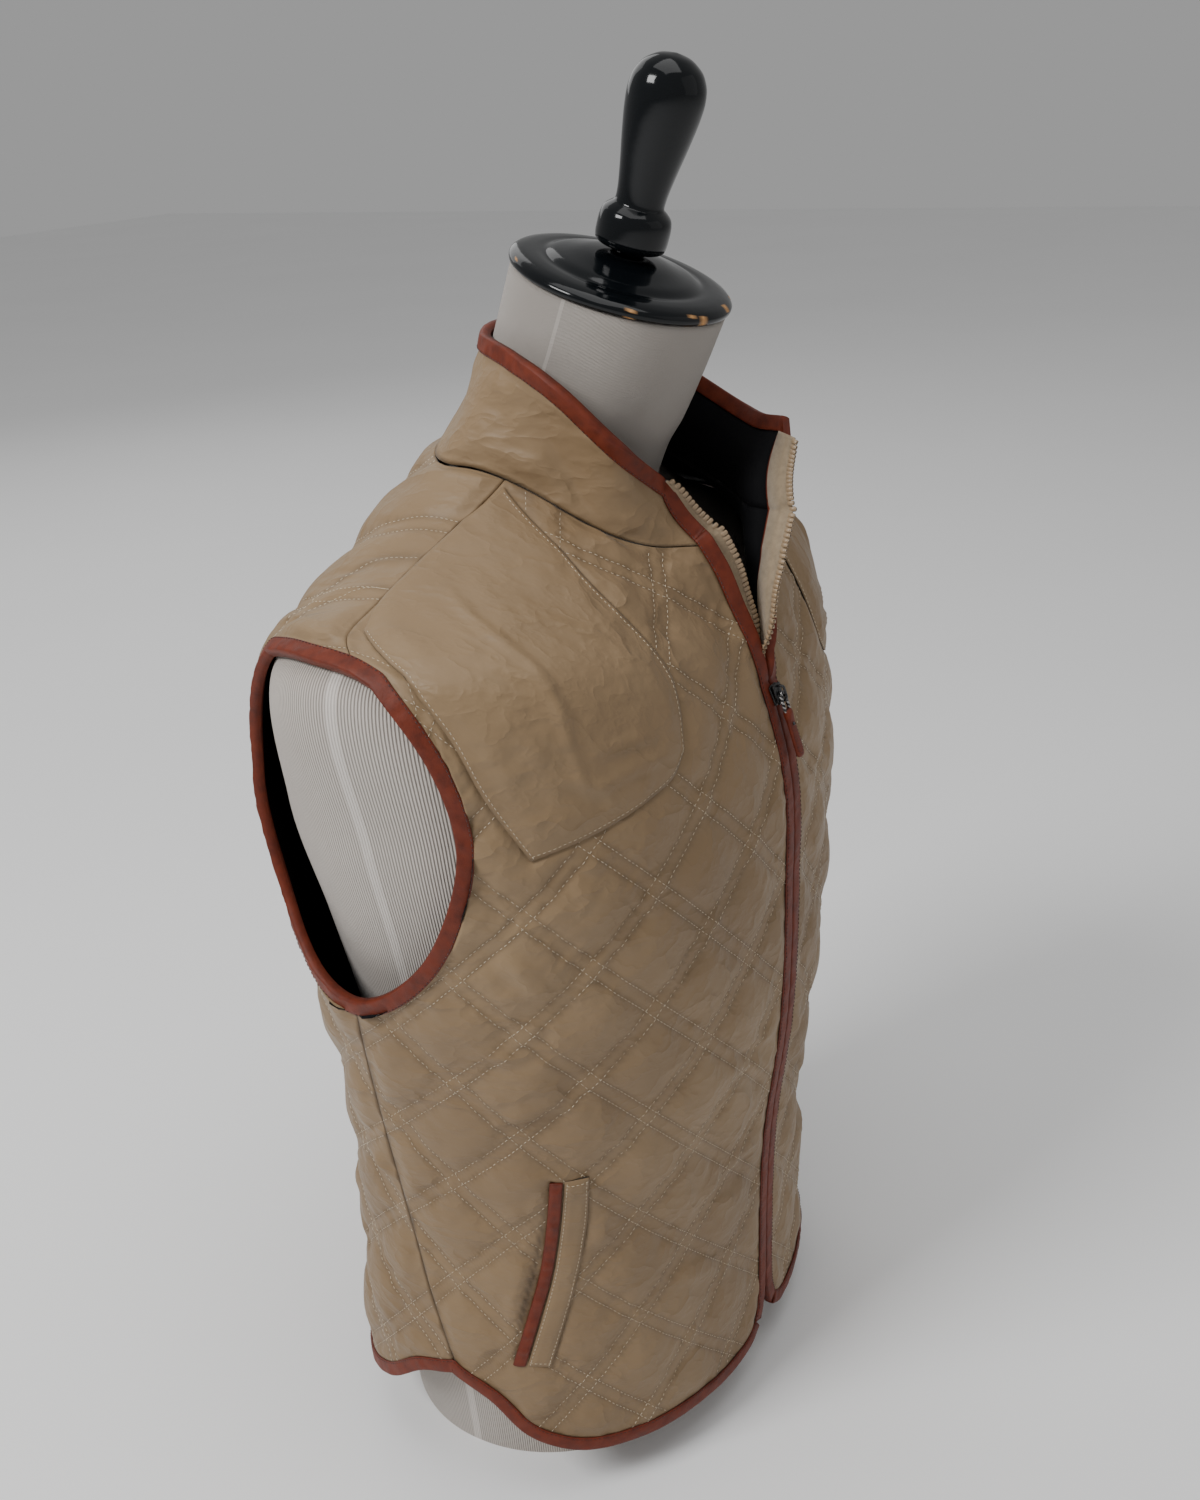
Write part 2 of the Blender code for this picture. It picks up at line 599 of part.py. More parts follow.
def collar_sheet(u, v):
    """Outer face of the collar: u from the right front round the neck to the left, v up."""
    u, v = np.broadcast_arrays(np.asarray(u, float), np.asarray(v, float))
    edge = float(edge_angle(FRONT_EDGE, 9.0))
    phi = edge - (360.0 + 2 * edge) * u
    right, left = body(phi, 9.0, -1), body(phi + 360.0, 9.0, 1)
    foot = np.where((phi > -180)[..., None], right, left) + np.array((0.0, 0.0, COLLAR_LIFT))
    table = np.array(COLLAR_TOP)
    top = hermite(-table[:, 0], table[:, 1:], -phi)
    centre = np.array((0.0, -0.04, 0.0))
    away = (foot - centre) * np.array((1.0, 1.0, 0.0))
    away /= np.linalg.norm(away, axis=-1, keepdims=True)
    bulge = -COLLAR_BULGE * np.sin(math.pi * v)[..., None]
    return foot + (top - foot) * v[..., None] + away * bulge


def build_collar(shell):
    wall("collar", collar_sheet, shell, (40, 3), COLLAR_THICK)


def leather_profile(start, width, deep):
    """Section of an edge binding: rounded over the cloth's edge, (aside, outward) pairs."""
    proud = BINDING_PROUD
    return ((start, -deep), (start, proud * 0.5), (start + 0.5 * width, proud),
            (start + 0.95 * width, 0.2 * proud), (start + width, -0.5 * deep),
            (start + 0.75 * width, -deep))


def hole_stations():
    """Where the panels' rows meet the armhole, so that its binding follows their edges."""
    rows = np.arange(PANEL_ROWS - SIDE_ROWS) / (PANEL_ROWS - SIDE_ROWS)
    return np.concatenate((rows * SEAM_AT, SEAM_AT + rows * (1 - SEAM_AT)))


def build_bindings(leather):
    profile = leather_profile(5 * GAP, BINDING_WIDTH - 2 * GAP, QUILT_THICK + GAP)
    for side, word in SIDES.items():
        ring = lambda t: armhole(t) * np.array((-side, 1.0))
        path, outward = outline(ring, side, hole_stations())
        aside = edge_frame(path, outward, closed=True) * side
        sweep("binding_armhole_" + word, path, aside, outward, profile, leather, closed=True)

        path, outward = zip_edge(side, np.linspace(0, 1, PANEL_ROWS + 1))
        aside = edge_frame(path, outward) * -side
        flat = leather_profile(4 * GAP, BINDING_WIDTH - 3 * GAP, QUILT_THICK)
        sweep("binding_front_" + word, path, aside, outward, flat, leather)


def build_hem(leather):
    """One leather binding round the whole hem, from the right front edge to the left."""
    front = curve(HEM_FRONT)
    rear = curve(HEM_BACK)
    half_back = BACK_COLUMNS // 2
    stretches = ((front, -1, FRONT_COLUMNS), (rear, 0, half_back),
                 (backward(behind(rear)), 0, half_back), (backward(behind(front)), 1, FRONT_COLUMNS))
    paths, normals = [], []
    for place, side, count in stretches:
        path, outward = outline(place, side, np.linspace(0, 1, count + 1))
        paths.append(path[:-1])
        normals.append(outward[:-1])
    paths.append(path[-1:])
    normals.append(outward[-1:])
    path, outward = np.concatenate(paths), np.concatenate(normals)
    aside = -edge_frame(path, outward)
    profile = leather_profile(2 * GAP, BINDING_WIDTH - 2 * GAP, QUILT_THICK + GAP)
    sweep("binding_hem", path, aside, outward, profile, leather)


def build_collar_binding(leather):
    """Leather round the collar: up its right front edge, along the top and down the left."""
    side_v = np.array((0.10, 1 / 3, 2 / 3))
    across = np.linspace(0, 1, 41)
    u = np.concatenate((np.zeros(3), across, np.ones(3)))
    v = np.concatenate((side_v, np.ones(41), side_v[::-1]))
    path, outward = collar_sheet(u, v), facing(collar_sheet, u, v)
    aside = edge_frame(path, outward)
    if (aside[30] @ np.array((0.0, 0.0, 1.0))) < 0:
        aside = -aside
    profile = leather_profile(2 * GAP, BINDING_WIDTH - 2 * GAP, COLLAR_THICK)
    sweep("binding_collar", path, aside, outward, profile, leather)


def zip_protrusion(s):
    """How far the teeth stand out of the leather: not at all where the zip is closed."""
    return TEETH_OUT * ease((s - OPEN_FROM - 0.05) / 1.5)


TAPE_STEPS = 24
TAPE_FROM = 0.042           # places of the tapes' ends on the zip edge, before they go up the collar
TAPE_TO = 0.997
TAPE_COLLAR = 5             # rows of a tape beside the collar's end
TEETH_OUT = 0.008           # how far the teeth stand out of the leather where the zip is open


def build_tapes(tape):
    """Zip tapes with their beads, up both fronts and the collar's ends."""
    for side, word in SIDES.items():
        t = np.linspace(TAPE_FROM, TAPE_TO, TAPE_STEPS)
        path, outward = zip_edge(side, t)
        v = np.linspace(0.12, 0.93, TAPE_COLLAR)
        u = np.full(TAPE_COLLAR, 0.0 if side < 0 else 1.0)
        path = np.concatenate((path, collar_sheet(u, v)))
        outward = np.concatenate((outward, facing(collar_sheet, u, v)))
        aside = edge_frame(path, outward) * -side
        beside_front = zip_protrusion(front_edge(t)[:, 1])
        reach = np.concatenate((beside_front, np.full(TAPE_COLLAR, zip_protrusion(9.0))))
        top = -(QUILT_THICK + 5 * GAP)
        low, bead = top - TAPE_THICK, top - BEAD_THICK
        profiles = []
        for out in reach:
            end = FRONT_EDGE - 3 * GAP + out
            begin = FRONT_EDGE - TAPE_WIDTH + out
            profiles.append(((begin, low), (begin, top), (end, top), (end, bead),
                             (end - BEAD_WIDTH, bead), (end - BEAD_WIDTH, low)))
        sweep("zip_tape_" + word, path, aside, outward, profiles, tape)


WELT_THICK = 0.0014


def build_pockets(shell, leather):
    """Slanted welt of each pocket and the leather on its mouth's edge."""
    for side, word in SIDES.items():
        welt = band_patch(curve(WELT_FRONT), curve(WELT_EDGE), side)
        trim = band_patch(curve(WELT_EDGE), curve(WELT_BACK), side)

        def trim_inset(u, v):
            return trim(0.12 + 0.88 * u, v) if side < 0 else trim(0.88 * u, v)

        def rounded(u, v):
            return 0.0008 * np.sin(math.pi * u)
        wall("pocket_welt_" + word, on_body(welt, side), shell, (2, 8), WELT_THICK,
             down=-LAID - WELT_THICK)
        wall("pocket_binding_" + word, on_body(trim_inset, side), leather, (2, 8), WELT_THICK,
             rounded, down=-LAID - WELT_THICK)


# ---------------------------------------------------------------- zip slider and pull
SLIDER_WIDTH = 0.0105
SLIDER_LENGTH = 0.0130
SLIDER_THICK = 0.0035
SLIDER_SEAT = 0.0019        # underside of the slider over the shell
BRIDGE_SIZE = (0.0026, 0.0014)      # width and thickness of the bar that holds the pull
BRIDGE_HALF = 0.0045
BRIDGE_RISE = 0.0032
LINK_LENGTH = 0.0150
LINK_WIDTH = 0.0080
LINK_WIRE = 0.0011
TAB_LENGTH = 0.0270
TAB_WIDTH = 0.0085
TAB_THICK = 0.0030


def slider_frame():
    """Matrix at the slider: X across, Y out of the cloth, Z up along the zip."""
    at = body(0.0, ZIP_STATION, 0)
    up = body(0.0, ZIP_STATION + 0.02, 0) - body(0.0, ZIP_STATION - 0.02, 0)
    up = Vector(up / np.linalg.norm(up))
    across = Vector((-1.0, 0.0, 0.0))
    out = up.cross(across)
    return Matrix.Translation(Vector(at)) @ Matrix((across, out, up)).transposed().to_4x4()


def box(name, size, centre, frame, finish, bevel):
    bpy.ops.mesh.primitive_cube_add(size=1.0)
    thing = bpy.context.active_object
    for holder in thing.users_collection:
        holder.objects.unlink(thing)
    collection.objects.link(thing)
    thing.name = thing.data.name = name
    thing.data.transform(Matrix.Diagonal((*size, 1.0)))
    thing.matrix_world = frame @ Matrix.Translation(centre)
    thing.data.materials.append(finish)
    if bevel:
        round_ = thing.modifiers.new("round", "BEVEL")
        round_.width = bevel
        round_.segments = 2
    return thing


def ring_link(name, frame, length, width, wire, finish):
    """Long closed link: a racetrack of round wire in the frame's X-Z plane, top at its origin."""
    radius = width / 2 - wire
    straight = length - 2 * wire - 2 * radius
    path = []
    for k in range(17):
        a = math.pi * (k % 9) / 8
        if k < 9:
            path.append((radius * math.cos(a), radius * math.sin(a) - radius))
        elif k > 9:
            path.append((-radius * math.cos(a - math.pi / 8), -radius * math.sin(a - math.pi / 8)
                         - radius - straight))
    points = np.array([frame @ Vector((x, 0.0, z)) for x, z in path])
    out = np.array([frame.to_3x3() @ Vector((0.0, 1.0, 0.0))] * len(points))
    aside = edge_frame(points, out, closed=True)
    profile = tuple((wire * math.cos(a), wire * math.sin(a))
                    for a in (2 * math.pi * k / 6 for k in range(6)))
    return sweep(name, points, aside, out, profile, finish, closed=True)


def build_slider(metal, leather):
    """Slider with the bar over it, the link that hangs on the bar and the leather tab."""
    frame = slider_frame()
    top = SLIDER_SEAT + SLIDER_THICK
    slider = box("zip_slider", (SLIDER_WIDTH, SLIDER_THICK, SLIDER_LENGTH),
                 Vector((0.0, SLIDER_SEAT + SLIDER_THICK / 2, 0.0)), frame, metal, 0.0)
    half_width, thick = BRIDGE_SIZE[0] / 2, BRIDGE_SIZE[1]
    rise = top + BRIDGE_RISE + thick / 2
    bar = ((BRIDGE_HALF, top - 0.001), (BRIDGE_HALF, rise - 0.0008), (BRIDGE_HALF - 0.0012, rise),
           (-BRIDGE_HALF + 0.0012, rise), (-BRIDGE_HALF, rise - 0.0008), (-BRIDGE_HALF, top - 0.001))
    points = np.array([frame @ Vector((0.0, y, z)) for z, y in bar])
    across = np.array([frame.to_3x3() @ Vector((1.0, 0.0, 0.0))] * len(points))
    square = np.cross(np.gradient(points, axis=0), across)
    square /= np.linalg.norm(square, axis=1, keepdims=True)
    section = tuple((a * half_width, b * thick / 2) for a, b in ((-1, -1), (1, -1), (1, 1), (-1, 1)))
    bridge = sweep("bridge_bar", points, across, square, section, metal)
    union = slider.modifiers.new("bridge", "BOOLEAN")
    union.operation = "UNION"
    union.object = bridge
    cutters.objects.link(bridge)
    collection.objects.unlink(bridge)
    bridge.hide_render = True
    bridge.display_type = "WIRE"

    pivot = top + LINK_WIRE + 2 * GAP
    hang = frame @ Matrix.Translation((0.0, pivot, LINK_WIRE / 2))
    ring_link("pull_link", hang, LINK_LENGTH, LINK_WIDTH, LINK_WIRE, metal)
    drop = -LINK_LENGTH + LINK_WIRE - GAP - TAB_LENGTH / 2
    box("pull_tab", (TAB_WIDTH, TAB_THICK, TAB_LENGTH), Vector((0.0, 0.0, drop)), hang,
        leather, 0.0010)


# ---------------------------------------------------------------- the dress form
def form_rings(phi):
    """Level rings of the form from its flat underside to the rim of its neck."""
    levels = [rings(phi, np.full_like(phi, i), FORM_SECTIONS) for i in range(len(FORM_SECTIONS))]
    step = 0.5
    for station, front in FORM_SHOULDERS:
        sections = SECTIONS.copy()
        sections[:, 4] *= front / -rings(0.0, station, SECTIONS)[1]
        points = rings(phi, station, sections)
        across = rings(phi + step, station, sections) - rings(phi - step, station, sections)
        up = rings(phi, station + 0.05, sections) - rings(phi, station - 0.05, sections)
        normal = np.cross(across, up)
        normal /= np.linalg.norm(normal, axis=1, keepdims=True)
        levels.append(points - normal * (QUILT_THICK + FORM_CLEAR))
    angle = np.radians(phi)
    for y, z, half_x, half_y, lean in NECK:
        tilt = math.radians(lean)
        forward = -half_y * np.cos(angle)
        levels.append(np.stack((half_x * np.sin(angle), y + forward * math.cos(tilt),
                                z + forward * math.sin(tilt)), -1))
    return np.array(levels)


FORM_COLUMNS = 36
FORM_ROWS = 2               # from one ring to the next, up to the chest


def build_form(cloth, lacquer):
    phi = np.linspace(0, 360, FORM_COLUMNS, endpoint=False)
    levels = form_rings(phi)
    steps = np.linalg.norm(np.diff(levels, axis=0), axis=2).mean(axis=1)
    knots = np.concatenate(((0.0,), np.cumsum(steps)))
    read = []
    for i in range(len(levels) - 1):
        count = FORM_ROWS if i < len(FORM_SECTIONS) else 1
        read += [knots[i] + (knots[i + 1] - knots[i]) * k / count for k in range(count)]
    read.append(knots[-1])
    rows = np.array([hermite(knots, levels, t) for t in read])
    count = len(phi)
    faces = [(j * count + i, j * count + (i + 1) % count, (j + 1) * count + (i + 1) % count,
              (j + 1) * count + i) for j in range(len(rows) - 1) for i in range(count)]
    faces.append(tuple(range(count)))
    faces.append(tuple(range((len(rows) - 1) * count, len(rows) * count)))
    add_object("form_torso", closed_mesh("form_torso", rows.reshape(-1, 3), faces), cloth)

    turned("neck_cap", CAP_PROFILE, lacquer, CAP_STEPS)
    turned("neck_handle", HANDLE_PROFILE, lacquer, HANDLE_STEPS)


def main():
    global collection, cutters
    for thing in list(bpy.data.objects):
        bpy.data.objects.remove(thing)
    collection = bpy.data.collections.new("quilted vest on dress form")
    cutters = bpy.data.collections.new("cutters")
    bpy.context.scene.collection.children.link(collection)
    bpy.context.scene.collection.children.link(cutters)

    shell = material("tan shell", (0.300, 0.225, 0.150), 0.42)
    leather = material("brown leather", (0.150, 0.036, 0.020), 0.45)
    tape = material("beige tape", (0.420, 0.310, 0.220), 0.80)
    metal = material("black metal", (0.020, 0.020, 0.022), 0.25, 1.0)
    cloth = material("ribbed cloth", (0.580, 0.540, 0.500), 0.85)
    lacquer = material("black lacquer", (0.006, 0.007, 0.008), 0.12)

    build_form(cloth, lacquer)
    build_fronts(shell)
    build_back(shell)
    build_patches(shell)
    build_collar(shell)
    build_bindings(leather)
    build_hem(leather)
    build_collar_binding(leather)
    build_tapes(tape)
    build_pockets(shell, leather)
    build_slider(metal, leather)


main()
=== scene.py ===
"""Finished look of a quilted vest on a limbless dress form.

Every visible piece is built here as fine geometry in the part's own frame and rides
on one of its bodies, "vest" or "pull". Metres, +Z up; the vest's front faces -Y and
the wearer's left is +X. Nothing is simulated: folds and puckers are given.
"""
import math

import bmesh
import bpy
import numpy as np
from mathutils import Matrix, Vector
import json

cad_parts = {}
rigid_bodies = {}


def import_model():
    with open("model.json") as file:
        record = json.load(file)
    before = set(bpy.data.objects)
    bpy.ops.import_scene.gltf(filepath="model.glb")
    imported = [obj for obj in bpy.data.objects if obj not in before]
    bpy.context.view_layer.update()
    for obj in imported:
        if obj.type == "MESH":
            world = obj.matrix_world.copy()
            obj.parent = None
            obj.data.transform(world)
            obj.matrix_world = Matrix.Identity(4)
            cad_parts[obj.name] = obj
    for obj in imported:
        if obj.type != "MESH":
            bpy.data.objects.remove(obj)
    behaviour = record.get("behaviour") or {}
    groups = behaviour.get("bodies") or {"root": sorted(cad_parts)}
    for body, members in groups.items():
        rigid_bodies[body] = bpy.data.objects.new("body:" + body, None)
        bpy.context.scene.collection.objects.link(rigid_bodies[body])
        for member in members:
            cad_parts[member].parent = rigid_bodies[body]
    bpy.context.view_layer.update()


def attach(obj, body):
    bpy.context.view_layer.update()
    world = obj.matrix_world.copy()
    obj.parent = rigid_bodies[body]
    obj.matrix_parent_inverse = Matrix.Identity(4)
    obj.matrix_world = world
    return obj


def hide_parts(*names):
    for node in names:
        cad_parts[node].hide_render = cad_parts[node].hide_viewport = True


# ---------------------------------------------------------------- colours
TAN = (0.232, 0.153, 0.080)
TAN_DARK = (0.192, 0.124, 0.063)
TAN_LIGHT = (0.270, 0.182, 0.098)
# painted shade: the tan darkened along stitched rows, seams, sewn edges, the collar's foot and
# pocket mouths
TAN_PAINTED_SHADE = (0.082, 0.050, 0.024)
LEATHER = (0.138, 0.020, 0.006)
LEATHER_DARK = (0.085, 0.012, 0.004)
LEATHER_LIGHT = (0.165, 0.026, 0.008)
THREAD = (0.700, 0.590, 0.430)
THREAD_DARK = (0.040, 0.008, 0.005)
JERSEY = (0.600, 0.545, 0.490)
JERSEY_DARK = (0.545, 0.490, 0.435)
JERSEY_LIGHT = (0.660, 0.605, 0.550)
# painted shade between the jersey's ribs
JERSEY_RIB_SHADE = (0.170, 0.135, 0.105)
RIB_PITCH = 0.0015
LINING = (0.004, 0.004, 0.005)
TAPE_BEIGE = (0.385, 0.290, 0.185)
TEETH_BEIGE = (0.345, 0.245, 0.150)
BLACK_METAL = (0.035, 0.034, 0.034)
# painted highlight: the silver colour of one strand of the twisted link stands in for glints on
# dark wire
SILVER_GLINT = (0.42, 0.41, 0.40)
LACQUER = (0.002, 0.003, 0.004)
WEAVE_PITCH = 0.0007
TWILL_PITCH = 0.0009
JERSEY_SEAM = 0.2375          # the jersey's side seam, round the form from its back
SEAM_HALF = 0.0026

# ---------------------------------------------------------------- driving sizes
GAP = 0.0003                # between pieces that touch or are sewn together
QUILT_THICK = 0.0040        # tan shell, wadding and the black lining quilted to them
COLLAR_THICK = 0.0040
PATCH_THICK = 0.0010
BINDING_WIDTH = 0.0088
BINDING_PROUD = 0.0010      # how far the leather stands above the shell
DIAMOND = 0.0800            # diagonal of one quilted diamond
PUFF = 0.0042               # height of a diamond's middle above its stitching
TAPE_WIDTH = 0.0165
TAPE_THICK = 0.0009
ZIP_STATION = 5.62          # where the slider stands: closed below, open above
CAP_TILT = math.radians(18.8)
CAP_CENTRE = Vector((0.0, -0.0655, 0.759))

# The worn vest as level rings: a superellipse with its own depth front and back.
# station          z_front z_side  z_back  half_w  front   back    square
SECTIONS = np.array((
    (0.002, 0.021, 0.020, 0.196, 0.148, 0.129, 2.30),   # 0 shirt tail
    (0.078, 0.103, 0.100, 0.192, 0.148, 0.130, 2.24),   # 1 hip
    (0.199, 0.201, 0.200, 0.186, 0.152, 0.126, 2.18),   # 2 waist
    (0.299, 0.302, 0.300, 0.195, 0.165, 0.127, 2.15),   # 3 ribs
    (0.390, 0.409, 0.394, 0.212, 0.169, 0.142, 2.15),   # 4 underarm
    (0.474, 0.499, 0.492, 0.220, 0.168, 0.152, 2.16),   # 5 chest
    (0.550, 0.592, 0.569, 0.211, 0.147, 0.112, 2.20),   # 6 shoulder tip
    (0.580, 0.613, 0.627, 0.166, 0.134, 0.084, 2.15),   # 7 mid shoulder
    (0.602, 0.646, 0.657, 0.109, 0.127, 0.064, 2.05),   # 8 by the neck
    (0.618, 0.668, 0.678, 0.080, 0.121, 0.045, 2.00)))  # 9 neckline

# The dress form under it, in the same columns; its neck follows in NECK.
FORM_SECTIONS = np.array((
    (0.000, 0.000, 0.000, 0.158, 0.124, 0.116, 2.10),   # flat underside
    (0.100, 0.100, 0.100, 0.164, 0.128, 0.110, 2.10),   # hip
    (0.215, 0.215, 0.215, 0.152, 0.122, 0.100, 2.10),   # waist
    (0.310, 0.310, 0.310, 0.168, 0.145, 0.111, 2.10),   # ribs
    (0.400, 0.405, 0.400, 0.184, 0.156, 0.128, 2.12),   # underarm
    (0.470, 0.482, 0.480, 0.200, 0.156, 0.139, 2.15)))  # chest
FORM_CLEAR = 0.0031         # between the vest and the form's shoulders

# Higher up the form fills the vest's shoulders, but its front is this deep.
#                  station front
FORM_SHOULDERS = ((5.9, 0.128), (6.4, 0.110), (7.0, 0.090), (7.6, 0.080), (8.3, 0.072))

# angle and station of points on each outline, in degrees and stations
#            phi    s
ARMHOLE = ((-95.0, 3.66), (-81.0, 3.95), (-72.8, 4.50), (-70.0, 5.05), (-73.0, 5.55),
           (-79.5, 5.92), (-87.5, 6.19), (-98.0, 6.24), (-110.0, 5.98), (-120.0, 5.40),
           (-121.0, 4.75), (-116.0, 4.10), (-106.0, 3.74))
SEAM_CORNER = 6             # the row of ARMHOLE where the shoulder seam ends
SHOULDER_SEAM = ((-87.5, 6.19), (-90.5, 6.45), (-90.0, 7.04), (-86.5, 7.55),
                 (-78.5, 8.15), (-69.5, 9.00))
SIDE_SEAM = ((-86.0, 1.04), (-91.8, 1.70), (-95.5, 2.50), (-96.2, 3.20), (-95.0, 3.66))
HEM_FRONT = ((-6.5, 0.60), (-10.0, 0.52), (-17.0, 0.47), (-32.0, 0.43), (-49.0, 0.39),
             (-63.0, 0.42), (-69.5, 0.53), (-77.0, 0.84), (-86.0, 1.04))
HEM_BACK = ((-86.0, 1.04), (-93.5, 0.95), (-104.5, 0.62), (-116.0, 0.42), (-140.0, 0.36),
            (-180.0, 0.36))
PATCH_TOP = ((-69.2, 8.85), (-78.0, 8.10), (-85.8, 7.50), (-89.0, 7.04), (-88.6, 6.60))
PATCH_INNER = ((-69.2, 8.85), (-51.0, 7.99), (-37.0, 6.80), (-33.0, 5.75), (-33.8, 5.50))
PATCH_FOOT = ((-33.8, 5.50), (-36.5, 5.36), (-42.0, 5.24), (-51.5, 5.08), (-62.0, 4.93))
PATCH_OUTER = ((-62.0, 4.93), (-68.0, 5.34), (-71.5, 5.65), (-77.0, 5.95), (-88.6, 6.60))
WELT_FRONT = ((-66.3, 1.12), (-63.0, 1.46), (-60.0, 1.79), (-57.5, 2.17), (-56.3, 2.57))
WELT_EDGE = ((-70.8, 1.12), (-67.2, 1.52), (-64.3, 1.86), (-62.3, 2.22), (-61.0, 2.56))
WELT_BACK = ((-73.6, 1.12), (-70.0, 1.52), (-67.1, 1.86), (-65.1, 2.22), (-63.8, 2.56))
FRONT_EDGE = 0.0094         # what half the zip and the binding take from each front

# Top edge of the collar: angle it stands over, and place.
#               phi      x       y       z
COLLAR_TOP = ((-4.4, -0.029, -0.103, 0.647), (-28.0, -0.0655, -0.094, 0.675),
              (-52.0, -0.078, -0.068, 0.705), (-90.0, -0.069, -0.030, 0.723),
              (-135.0, -0.043, 0.004, 0.728), (-180.0, 0.000, 0.018, 0.729),
              (-225.0, 0.044, 0.004, 0.725), (-270.0, 0.073, -0.034, 0.710),
              (-300.0, 0.078, -0.074, 0.685), (-325.0, 0.067, -0.108, 0.672),
              (-343.0, 0.053, -0.130, 0.669), (-355.6, 0.0448, -0.147, 0.670))
COLLAR_BULGE = 0.004
COLLAR_LIFT = 0.0008        # foot of the collar over the neckline

# Neck of the form: leaning ellipses.
#          centre_y centre_z half_x half_y lean (degrees)
NECK = ((-0.024, 0.664, 0.0665, 0.058, 6.0),
        (-0.037, 0.692, 0.0645, 0.060, 11.0),
        (-0.051, 0.724, 0.0622, 0.0615, 15.5),
        (-0.0653, 0.7585, 0.0628, 0.0628, 18.8))

# Turned wood on the neck, (radius, height over the rim) from the top down.
CAP_TOP = 0.0175
CAP_PROFILE = ((0.0, CAP_TOP), (0.0115, CAP_TOP), (0.0220, 0.0160), (0.0320, 0.0131),
               (0.0400, 0.0112), (0.0450, 0.0088), (0.0468, 0.0084), (0.0510, 0.0086),
               (0.0570, 0.0080), (0.0620, 0.0064), (0.0648, 0.0038), (0.0644, 0.0008),
               (0.0625, 0.0), (0.0, 0.0))
HANDLE_PROFILE = ((0.0, 0.1235), (0.0090, 0.1220), (0.0165, 0.1170), (0.0205, 0.1100),
                  (0.0216, 0.1020), (0.0208, 0.0920), (0.0186, 0.0780), (0.0160, 0.0640),
                  (0.0141, 0.0520), (0.0137, 0.0445), (0.0160, 0.0430), (0.0195, 0.0400),
                  (0.0207, 0.0350), (0.0207, 0.0260), (0.0200, 0.0225), (0.0180, 0.0212),
                  (0.0105, 0.0205), (0.0105, CAP_TOP + GAP), (0.0, CAP_TOP + GAP))


# ---------------------------------------------------------------- curves and rings
NECKLINE = 9.0              # station of the neckline
CHEST = 5.0                 # station above which the flat reading turns over the shoulder
STEP_SCALE = np.array((0.0035, 0.09))       # rough metres to a degree and to a station


def unit(vectors):
    """Vectors brought to length 1."""
    return vectors / np.linalg.norm(vectors, axis=-1, keepdims=True)


def travelled(points):
    """Distance run along a polyline, at each of its points."""
    return np.concatenate(((0.0,), np.cumsum(np.linalg.norm(np.diff(points, axis=0), axis=1))))


def hermite(knots, values, t):
    """Smooth curve through values at knots, read at t."""
    t = np.asarray(t, float)
    slopes = np.gradient(values, knots, axis=0)
    i = np.clip(np.searchsorted(knots, t, side="right") - 1, 0, len(knots) - 2)
    step = (knots[i + 1] - knots[i])[..., None]
    u = (t - knots[i])[..., None] / step
    return ((2 * u**3 - 3 * u**2 + 1) * values[i] + (u**3 - 2 * u**2 + u) * step * slopes[i]
            + (-2 * u**3 + 3 * u**2) * values[i + 1] + (u**3 - u**2) * step * slopes[i + 1])


def through(points, u):
    """Smooth curve through points, u from 0 to 1 by length along the points."""
    pts = np.asarray(points, float)
    knots = travelled(pts * (STEP_SCALE if pts.shape[1] == 2 else np.ones(3)))
    return hermite(knots / knots[-1], pts, np.clip(u, 0.0, 1.0))


def rings(phi, s, sections):
    """Point on the surface through the sections at angle phi (degrees), station s."""
    phi, s = np.broadcast_arrays(np.radians(np.asarray(phi, float)), np.asarray(s, float))
    side = np.linalg.norm(np.diff(sections[:, (3, 1)], axis=0), axis=1)
    front = np.linalg.norm(np.diff(sections[:, (4, 0)], axis=0), axis=1)
    knots = np.concatenate(((0.0,), np.cumsum(side + front)))
    t = np.interp(s, np.arange(len(sections)), knots)
    z_front, z_side, z_back, half, fore, aft, square = np.moveaxis(
        hermite(knots, sections, t), -1, 0)
    sine, cosine = np.sin(phi), np.cos(phi)
    depth = np.where(cosine > 0, fore, aft)
    radius = ((np.abs(sine) / half)**square + (np.abs(cosine) / depth)**square)**(-1 / square)
    z_end = np.where(cosine > 0, z_front, z_back)
    return np.stack((radius * sine, -radius * cosine, z_side + (z_end - z_side) * cosine**2), -1)


def ease(x):
    x = np.clip(x, 0.0, 1.0)
    return x * x * (3 - 2 * x)


# How the open neck stands away from the form: shift of each front at the neckline, how
# its edge is turned (sideways and forward), how soon either sets in, and over what angle.
#                 x       y       z      turn_x  turned  onset  reach  power
OPENING = {-1: (-0.0134, 0.0100, -0.0019, 0.0040, 0.0320, 0.60, 15.4, 1.00),
           1: (0.0217, -0.0100, 0.0090, 0.0140, 0.0600, 0.60, 12.5, 1.90)}
OPEN_FROM = ZIP_STATION + 0.13
OPEN_FULL = 9.2             # station at which the front would be open in full
OPEN_REACH = 62.0           # degrees of the front that the opening moves


def body(phi, s, side):
    """Outer surface of the worn vest; side is -1 on the right front, 1 on the left, 0 behind."""
    points = rings(phi, s, SECTIONS)
    if side:
        x, y, z, turn_x, turned, onset, reach, power = OPENING[side]
        open_ = np.clip((np.asarray(s, float) - OPEN_FROM) / (OPEN_FULL - OPEN_FROM), 0, 1)
        angle = np.abs((np.asarray(phi, float) + 180.0) % 360.0 - 180.0)
        pull = (open_**power * ease(1 - angle / OPEN_REACH))[..., None]
        turn = (open_**onset * np.clip(1 - angle / reach, 0, 1)**3)[..., None]
        points = points + pull * np.array((x, y, z)) + turn * np.array((turn_x, -turned, 0.0))
    return points


